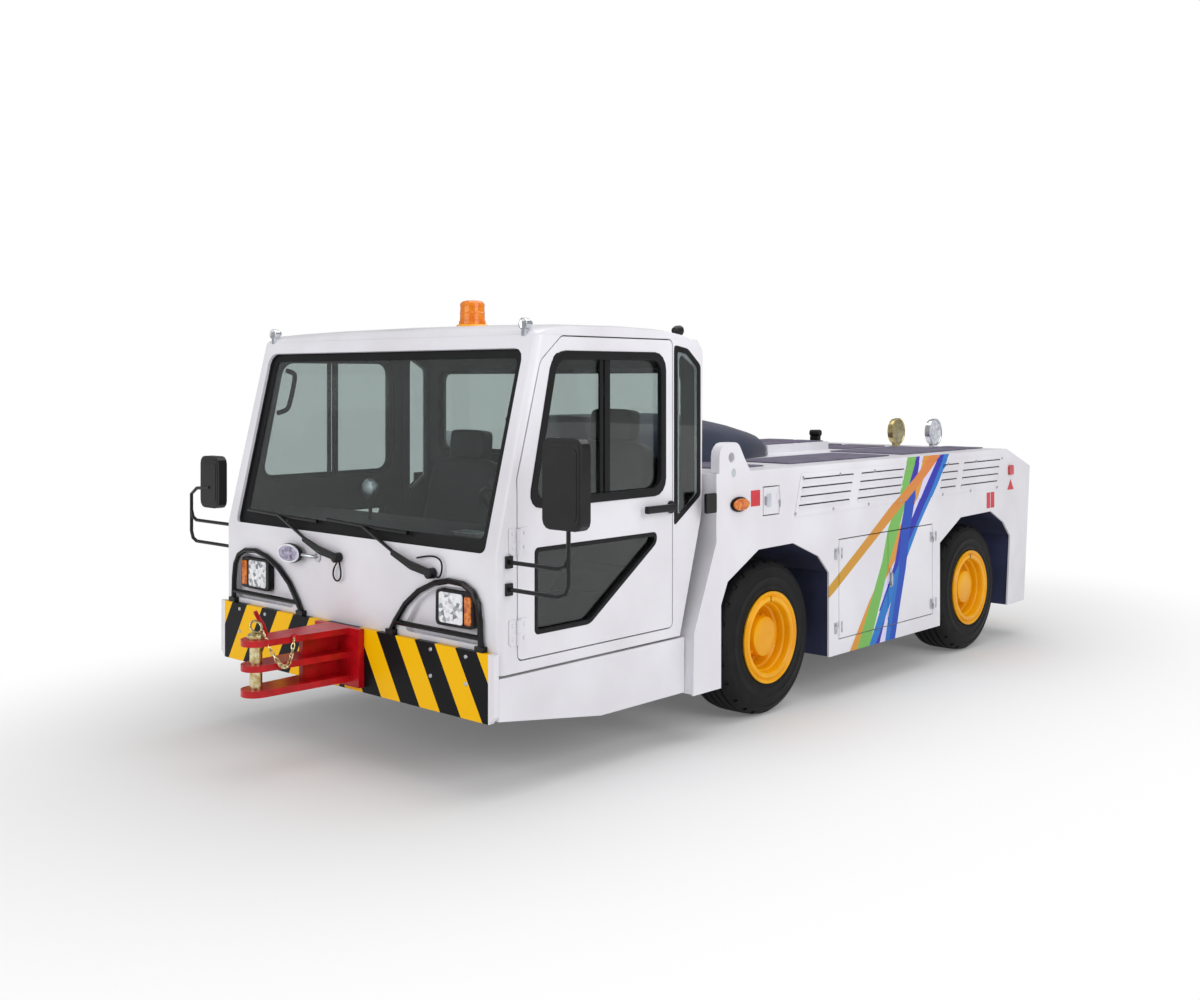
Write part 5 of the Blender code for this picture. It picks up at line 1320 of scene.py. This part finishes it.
# %% Beacon and lamps
beacon_low, beacon_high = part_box("beacon")
beacon_board = (deck_board(0)[0], Vector((0, (beacon_low.y + beacon_high.y) / 2, beacon_low.z)))
CUP = [
    (0.016, 0.0), (0.016, 0.0595), (0.030, 0.0590), (0.036, 0.0575), (0.066, 0.0568), (0.070, 0.0590),
    (0.074, 0.0565), (0.100, 0.0555), (0.112, 0.0530), (0.121, 0.0440), (0.1245, 0.0300), (0.125, 0.0),
]
FLUTE_STEPS, FLUTE_DEPTH = 64, 0.0025
lens = turned("beacon_lens", CUP, beacon_board, FLUTE_STEPS)
edit(lens)
bpy.ops.mesh.select_all(action="DESELECT")
bpy.ops.object.mode_set(mode="OBJECT")
for face in lens.data.polygons:
    spot = face.center - beacon_board[1]
    step = int((math.atan2(spot.y, spot.x) + math.pi) / (2 * math.pi) * FLUTE_STEPS)
    face.select = math.hypot(spot.x, spot.y) > 0.050 and 0.037 < spot.z < 0.105 and step % 2 == 0
bpy.ops.object.mode_set(mode="EDIT")
bpy.ops.mesh.extrude_region_shrink_fatten(TRANSFORM_OT_shrink_fatten={"value": -FLUTE_DEPTH})
leave()
done(lens, beacon_lens_plastic, radius=0, replaces=("beacon",))
foot = turned(
    "beacon_foot",
    [(0.0, 0.0), (0.0, 0.071), (0.012, 0.0715), (0.018, 0.068), (0.020, 0.062), (0.020, 0.0)], beacon_board,
    48
)
done(foot, beacon_foot_plastic, radius=0)

PAN = [
    (0.036, 0.0), (0.036, 0.066), (0.033, 0.076), (0.006, 0.0795), (0.0, 0.0795), (-0.001, 0.077),
    (0.0, 0.0735), (0.006, 0.0715), (0.010, 0.069), (0.012, 0.040), (0.013, 0.0),
]
for word, material, glass in (("inner", polished_brass, aged_lens), ("outer", chrome_plate, bright_lens)):
    low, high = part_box("deck_lamp_" + word)
    middle = Vector((high.x, (low.y + high.y) / 2, high.z - 0.080))
    facing = (side_board(LEFT, 0)[0] @ Matrix.Rotation(math.pi, 4, "Y"), middle)
    pan = turned("deck_lamp_pan_" + word, PAN, facing, 48)
    stem = tube(
        "stem", [middle + Vector((-0.018, 0, -0.076)), (middle.x - 0.018, middle.y, low.z + 0.004)], 0.009
    )
    clip = block(
        "clip", (middle.x - 0.034, middle.y - 0.022, low.z),
        (middle.x - 0.002, middle.y + 0.022, low.z + 0.006)
    )
    done(
        join("deck_lamp_body_" + word, [pan, stem, clip]), material, radius=0,
        replaces=("deck_lamp_" + word,)
    )
    front = turned(
        "deck_lamp_glass_" + word,
        [(0.008, 0.0), (0.0075, 0.0705), (0.004, 0.0705), (0.001, 0.045), (0.0, 0.0)], facing, 48
    )
    done(front, glass, radius=0)

SPOTS = (
    ("front_left", 0.800, -1.490, 1.684), ("front_right", -0.800, -1.490, 1.684),
    ("rear_left", 0.790, -0.560, 1.684)
)
for word, x, y, z in SPOTS:
    way = -1 if "front" in word else 1
    facing = (front_board(0)[0] if way < 0 else rear_board(0)[0], Vector((x, FRONT_AXLE + y, z + 0.034)))
    shell = turned(
        f"roof_spot_{word}",
        [
            (-0.030, 0.0), (-0.028, 0.012), (-0.010, 0.021), (0.012, 0.023), (0.016, 0.022), (0.012, 0.019),
            (0.010, 0.0)
        ],
        facing, 24
    )
    bracket = block(
        "bracket", (x - 0.010, FRONT_AXLE + y - 0.012, z - 0.012),
        (x + 0.010, FRONT_AXLE + y + 0.012, z + 0.018)
    )
    done(join(f"roof_spot_{word}", [shell, bracket]), chrome_plate if way < 0 else black_abs, radius=0.0008)
eye = block(
    "hatch_camera", (0.105, FRONT_AXLE + 1.553, HATCH_TOP + 0.0003),
    (0.155, FRONT_AXLE + 1.590, HATCH_TOP + 0.030)
)
hood = turned(
    "hood", [(-0.030, 0.0), (-0.030, 0.018), (0.030, 0.020), (0.034, 0.018), (0.034, 0.0)],
    (side_board(LEFT, 0)[0], Vector((0.130, FRONT_AXLE + 1.571, HATCH_TOP + 0.047))), 16
)
done(join("hatch_camera", [eye, hood]), black_abs, radius=0.002)
print("a beacon of", len(lens.data.polygons), "faces and", len(SPOTS), "roof spots")

# %% [markdown]
# ## Drop pin, chain and horn
#
# The pin is pulled by a ring through its head, and a short chain keeps it from being lost. A chain is one link
# copied many times, each turned a quarter against the last. The links follow a hanging curve.

# %% Pin ring and chain
LINK_LENGTH, LINK_WIDTH, LINK_WIRE = 0.0125, 0.0068, 0.0021  # half the length and width, and the wire's radius


def link(name, middle, along, roll):
    bpy.ops.object.select_all(action="DESELECT")
    bpy.ops.mesh.primitive_torus_add(
        major_radius=LINK_WIDTH, minor_radius=LINK_WIRE, major_segments=14, minor_segments=6
    )
    obj = bpy.context.active_object
    obj.name = name
    edit(obj)
    bpy.ops.transform.resize(value=(LINK_LENGTH / LINK_WIDTH, 1, 1))
    leave()
    turn = Vector(along).normalized().to_track_quat("X", "Z").to_matrix().to_4x4()
    obj.matrix_world = Matrix.Translation(middle) @ turn @ Matrix.Rotation(roll, 4, "X")
    return obj


LINKS, CHAIN_BOW, CHAIN_SAG = 18, 0.034, 0.125
for end, way in (("front", -1), ("rear", 1)):
    low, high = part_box(end + "_hitch_pin")
    pin_y, top = (low.y + high.y) / 2, high.z
    steps = [2 * math.pi * k / 24 for k in range(25)]
    loop = [(0.038 * math.cos(t), pin_y, top + 0.024 + 0.022 * math.sin(t)) for t in steps]
    ring_handle = tube(end + "_pin_ring", loop, 0.0045)
    done(ring_handle, yellow_zinc, radius=0)
    first = Vector((0.040, pin_y - way * 0.004, top + 0.018))
    last = Vector((0.070, pin_y - way * 0.125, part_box(end + "_hitch")[1].z + 0.004))
    path = []
    for k in range(LINKS + 1):
        share = k / LINKS
        bow = math.sin(math.pi * share)
        path.append(first.lerp(last, share) + Vector((CHAIN_BOW * bow, 0, -CHAIN_SAG * bow ** 0.8)))
    links = [
        link(f"link_{k}", (a + b) / 2, b - a, math.pi / 2 * (k % 2))
        for k, (a, b) in enumerate(zip(path, path[1:]))
    ]
    done(join(end + "_pin_chain", links), yellow_zinc, radius=0)
    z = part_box(end + "_hitch")[1].z
    bends = ((-0.046, 0.075, -0.004), (-0.048, 0.070, 0.030), (-0.050, 0.045, 0.062), (-0.050, 0.030, 0.092))
    horn = tube("horn", [(x, pin_y - way * back, z + rise) for x, back, rise in bends], 0.0085)
    eyelet = turned(
        "eyelet", [(0, 0.008), (0, 0.014), (0.008, 0.014), (0.008, 0.008)],
        (deck_board(0)[0], Vector((0.070, last.y, z))), 20
    )
    done(join(end + "_hitch_horn", [horn, eyelet]), red_enamel, radius=0)
    weld_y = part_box(end + "_hitch")[1 if way < 0 else 0].y + way * 0.028
    beads = [
        tube(f"bead_{z0}", [(x, weld_y, z0) for x in (-0.106, -0.05, 0.0, 0.05, 0.106)], 0.005)
        for z0 in (0.344, 0.410, 0.438, 0.504)
    ]
    done(join(end + "_hitch_welds", beads), red_enamel, radius=0)
    bumper_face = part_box(end + "_bumper")[0 if way < 0 else 1].y
    face = (front_board if way < 0 else rear_board)(bumper_face)
    heads = [
        turned(f"bs{x}{z}", [(0, 0), (0, 0.0085), (0.003, 0.007), (0.004, 0.0)], at(face, side * x, z, 0), 12)
        for side in (1, -1) for x in (0.535, 0.728) for z in (0.406, 0.505)
    ]
    done(join(end + "_bumper_screws", heads), bright_steel, radius=0)
print(LINKS, "links in each chain")

# %% [markdown]
# ## Small things on the nose
#
# A flood lamp on a bracket, the washer hoses that loop up to the wipers, and the pressed covers of the wiper
# arms. A hose is a path with a round section: it leaves its nozzle straight and bends gently.

# %% Flood lamp, hoses and wiper covers
nose = front_board(CAB_FACE)
pod = plate("flood_pod", oval(-0.344, 0.785, 0.078, 0.041, 28), at(nose, 0, 0, 0.018), 0.022)
done(pod, black_abs, radius=0.006, segments=3)
rim_band = ring(
    "flood_rim", oval(-0.344, 0.785, 0.076, 0.039, 28), oval(-0.344, 0.785, 0.066, 0.031, 28),
    at(nose, 0, 0, 0.039), 0.004, 0
)
done(rim_band, chrome_plate, radius=0.001)
glass = plate("flood_glass", oval(-0.344, 0.785, 0.066, 0.031, 28), at(nose, 0, 0, 0.0385), 0.002)
done(glass, flood_lens, radius=0.0008)
chips = [
    turned(f"chip_{u}_{v}", [(0, 0), (0, 0.011), (0.003, 0.009), (0.004, 0.0)], at(nose, u, v, 0.0405), 14)
    for u, v in (
        (-0.385, 0.785), (-0.358, 0.800), (-0.330, 0.800), (-0.303, 0.785), (-0.358, 0.770), (-0.330, 0.770)
    )
]
done(join("flood_chips", chips), clear_lens, radius=0)
arm = tube(
    "arm",
    [
        on_board(nose, p)
        for p in (
            (-0.262, 0.785, 0.030), (-0.225, 0.783, 0.026), (-0.196, 0.780, 0.010), (-0.190, 0.780, 0.0)
        )
    ],
    0.007
)
flange = plate("flange", oval(-0.190, 0.780, 0.018, 0.022, 12), nose, 0.006)
done(join("flood_bracket", [arm, flange]), bright_steel, radius=0)

WIPER_ARMS = {
    # pivot, knee and end of each arm
    "left": ((0.525, 0.786), (0.420, 0.806), (0.100, 0.928)),
    "middle": ((-0.045, 0.792), (-0.150, 0.812), (-0.470, 0.930)),
}
for word, (pivot, knee, end) in WIPER_ARMS.items():
    u, v = pivot
    low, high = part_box("wiper_" + word)
    face = front_board(low.y + 0.014)
    slope = (Vector(end) - Vector(knee)).normalized()
    across = Vector((-slope.y, slope.x))
    part_way = Vector(knee) + slope * 0.115
    outline = [
        (u + 0.017, v - 0.012), (u + 0.012, v + 0.017),
        (knee[0] - 0.004, knee[1] + 0.020),
        tuple(part_way - across * 0.011), tuple(part_way + across * 0.009),
        (knee[0] + 0.006, knee[1] - 0.014),
    ]
    cover = plate("cover", outline, face, 0.012, 0.006)
    cap = turned(
        "cap", [(-0.020, 0.0), (-0.020, 0.021), (0.010, 0.020), (0.014, 0.014), (0.014, 0.0)],
        at(face, u, v), 20
    )
    done(join(f"wiper_cover_{word}", [cover, cap]), black_abs, radius=0.003)
    if word == "left":
        path = [
            (u + 0.012, v), (u + 0.040, v - 0.020), (u + 0.062, v + 0.010), (u + 0.062, v + 0.048),
            (u + 0.030, v + 0.066), (u - 0.030, v + 0.062), (u - 0.080, v + 0.050)
        ]
    else:
        path = [
            (u + 0.006, v - 0.012), (u - 0.022, v - 0.040), (u - 0.030, v - 0.075), (u - 0.008, v - 0.098),
            (u + 0.020, v - 0.088), (u + 0.026, v - 0.050), (u + 0.012, v - 0.018)
        ]
    hose = tube(f"washer_hose_{word}", [on_board(nose, (a, b, 0.014)) for a, b in path], 0.0035, 10)
    done(hose, seal_rubber, radius=0)
print(len(WIPER_ARMS), "wiper covers with their hoses")

# %% [markdown]
# ## Inside the cab
#
# Through the glass one sees the dashboard's vent, a small fan on a stalk in the middle, grab handles on the
# pillars and the wheel's hub. They are simple shapes with soft edges, because glass hides the rest.

# %% Cab interior
DASH_TOP = 0.912
vent_board = (deck_board(DASH_TOP)[0], Vector((0, FRONT_AXLE, DASH_TOP)))
vent = ring(
    "dash_vent", rect(0.46, 0.65, -1.560, -1.470), rect(0.475, 0.635, -1.548, -1.482), vent_board, 0.012,
    0.01
)
slats = [
    plate(f"slat{k}", rect(0.478, 0.632, -1.542 + k * 0.016, -1.536 + k * 0.016), vent_board, 0.007)
    for k in range(4)
]
done(join("dash_vent", [vent, *slats]), bright_steel, radius=0.001)
stalk = tube(
    "stalk", [(-0.16, FRONT_AXLE - 1.45, DASH_TOP - 0.01), (-0.16, FRONT_AXLE - 1.45, DASH_TOP + 0.09)],
    0.008
)
done(stalk, black_abs, radius=0).name = "fan_stalk"
fan_face = (front_board(0)[0], Vector((-0.16, FRONT_AXLE - 1.45, DASH_TOP + 0.135)))
cage = turned(
    "fan_cage",
    [
        (-0.028, 0.0), (-0.026, 0.020), (-0.012, 0.040), (0.006, 0.045), (0.018, 0.038), (0.026, 0.020),
        (0.028, 0.0)
    ],
    fan_face, 28
)
done(cage, bright_steel, radius=0)
HANDLE_FOOT = 1.36
# for each bend of a grab handle: its height above the handle's foot, and how far it stands off the pillar
HANDLE_BENDS = ((0.0, 0.0), (0.008, 0.045), (0.04, 0.055), (0.15, 0.055), (0.182, 0.045), (0.19, 0.0))
for side, word in WORD.items():
    path = []
    for rise, back in HANDLE_BENDS:
        z = HANDLE_FOOT + rise
        path.append((side * 0.735, FRONT_AXLE - 1.640 + (z - WAIST) * SCREEN_SLOPE + back, z))
    done(tube(f"grab_handle_{word}", path, 0.011), seal_rubber, radius=0)
WHEEL_TILT = math.radians(35)
hub_board = (Matrix.Rotation(WHEEL_TILT, 4, "X") @ deck_board(0)[0], Vector((0.490, FRONT_AXLE - 1.190, 0.985)))
boss = turned(
    "wheel_boss", [(-0.02, 0.0), (-0.02, 0.045), (0.006, 0.050), (0.014, 0.040), (0.018, 0.0)], hub_board,
    28
)
done(boss, black_abs, radius=0)
print("dashboard's top at z", DASH_TOP)

# %% [markdown]
# ## Tail lamps and mirror glass
#
# Each end of the rear wall has a lamp cluster, and the mirrors have a slightly bulged glass that looks back.

# %% Rear lamps and mirror glass
rear_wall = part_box("rear_body")[1].y
for name, x0, x1, material in (
    ("tail", 0.700, 0.760, red_lens), ("turn", 0.765, 0.825, amber_lens),
    ("reverse", 0.635, 0.695, clear_lens)
):
    lens = plate(
        f"{name}_lamp_left", rect(x0, x1, 0.640, 0.720), rear_board(rear_wall + 0.0060), 0.020, 0.010
    )
    other_side(done(lens, material, radius=0.004, segments=3))
plinth = plate(
    "tail_lamp_base_left", rect(0.625, 0.835, 0.628, 0.732), rear_board(rear_wall + 0.0004), 0.008, 0.012
)
other_side(done(plinth, black_abs, radius=0.003))
for word, side, middle_x, middle_z, half, tall in (
    ("left", 1, 1.150, 1.149, 0.080, 0.143), ("right", -1, 1.064, 1.040, 0.064, 0.105)
):
    back = FRONT_AXLE - 1.645 + 0.0213
    glass = plate(
        f"mirror_glass_{word}",
        rect(side * middle_x - half, side * middle_x + half, middle_z - tall, middle_z + tall),
        rear_board(back), 0.002, 0.028
    )
    done(glass, chrome_plate, radius=0.0008)
    crease = FRONT_AXLE - 1.645 - 0.0210
    ribs = [
        plate(
            f"rib_{k}",
            rect(
                side * middle_x - half + 0.012 * k, side * middle_x + half - 0.012 * k,
                middle_z - tall + 0.016 * k, middle_z + tall - 0.016 * k
            ),
            front_board(crease), 0.0015 + 0.0015 * k, 0.020
        )
        for k in (0, 1)
    ]
    done(join(f"mirror_back_ribs_{word}", ribs), black_abs, radius=0.0015)
print("rear wall at y", round(rear_wall, 3))

# %% [markdown]
# ## Studio
#
# A pale floor runs out to white, and large soft lamps stand above and on both sides, so the paint shows broad
# gentle reflections. The floor is plain matt material near the tug, where it holds the shadow, and turns to
# plain white further out, so no horizon line shows behind the object.

# %% Floor, lamps and world
bpy.ops.object.select_all(action="DESELECT")
bpy.ops.mesh.primitive_plane_add(size=60, location=(0, 0, 0))
floor = bpy.context.active_object
floor.name = "studio_floor"
floor_finish = new_material("studio_floor_finish", Base_Color=linear("EDEDEE"), Roughness=0.8)
place = add_node(floor_finish, "TexCoord").outputs["Object"]
squeezed = add_node(floor_finish, "VectorMath", {0: place, 1: (1 / 1.7, 1 / 3.2, 1.0)}, operation="MULTIPLY")
distance = add_node(floor_finish, "VectorMath", {0: squeezed.outputs[0]}, operation="LENGTH")
fade = add_node(
    floor_finish,
    "MapRange",
    {"Value": distance.outputs["Value"], "From Min": 0.75, "From Max": 1.6, "To Min": 0.12, "To Max": 1.0},
    interpolation_type="SMOOTHSTEP",
)
white = add_node(floor_finish, "Emission", {"Color": (1, 1, 1, 1), "Strength": 1.0})
tree = floor_finish.node_tree
mix = add_node(
    floor_finish,
    "MixShader",
    {0: fade.outputs[0], 1: tree.nodes["Principled BSDF"].outputs[0], 2: white.outputs[0]},
)
tree.links.new(mix.outputs[0], tree.nodes["Material Output"].inputs["Surface"])
floor.data.materials.append(floor_finish)

WHITE = (1, 1, 1, 1)
WORLD_LIGHT = 0.42  # on the object; what the camera and the panes see of the world is plain white
world = bpy.data.worlds.new("studio_world")
bpy.context.scene.world = world
world.use_nodes = True
lit = world.node_tree.nodes["Background"]
lit.inputs["Color"].default_value = WHITE
lit.inputs["Strength"].default_value = WORLD_LIGHT
seen = add_node(world, "Background", {"Color": WHITE, "Strength": 1.0})
rays = add_node(world, "LightPath").outputs
either = add_node(
    world, "Math", {0: rays["Is Camera Ray"], 1: rays["Is Transmission Ray"]}, operation="MAXIMUM"
)
choice = add_node(world, "MixShader", {0: either.outputs[0], 1: lit.outputs[0], 2: seen.outputs[0]})
world.node_tree.links.new(choice.outputs[0], world.node_tree.nodes["World Output"].inputs["Surface"])

# name, place, aim, width, height, power
LAMPS = (
    ("overhead", (0.5, 0.6, 5.2), (0, 0, 0.6), 6.5, 5.0, 170),
    ("key", (6.2, -1.6, 3.6), (0, -0.2, 0.8), 4.0, 3.0, 125),
    ("front_fill", (-0.8, -7.0, 2.6), (0, -1.5, 0.8), 4.5, 3.0, 95),
)
for name, spot, aim, wide, tall, power in LAMPS:
    data = bpy.data.lights.new(name, "AREA")
    data.shape = "RECTANGLE"
    data.size, data.size_y, data.energy = wide, tall, power
    lamp = bpy.data.objects.new(name, data)
    bpy.context.scene.collection.objects.link(lamp)
    lamp.location = spot
    lamp.rotation_euler = (Vector(aim) - Vector(spot)).to_track_quat("-Z", "Y").to_euler()
print(len(LAMPS), "soft lamps over a floor of 60 m")

# %% [markdown]
# ## Last step
#
# The view layer is brought up to date.

# %% Update the view layer
bpy.context.view_layer.update()
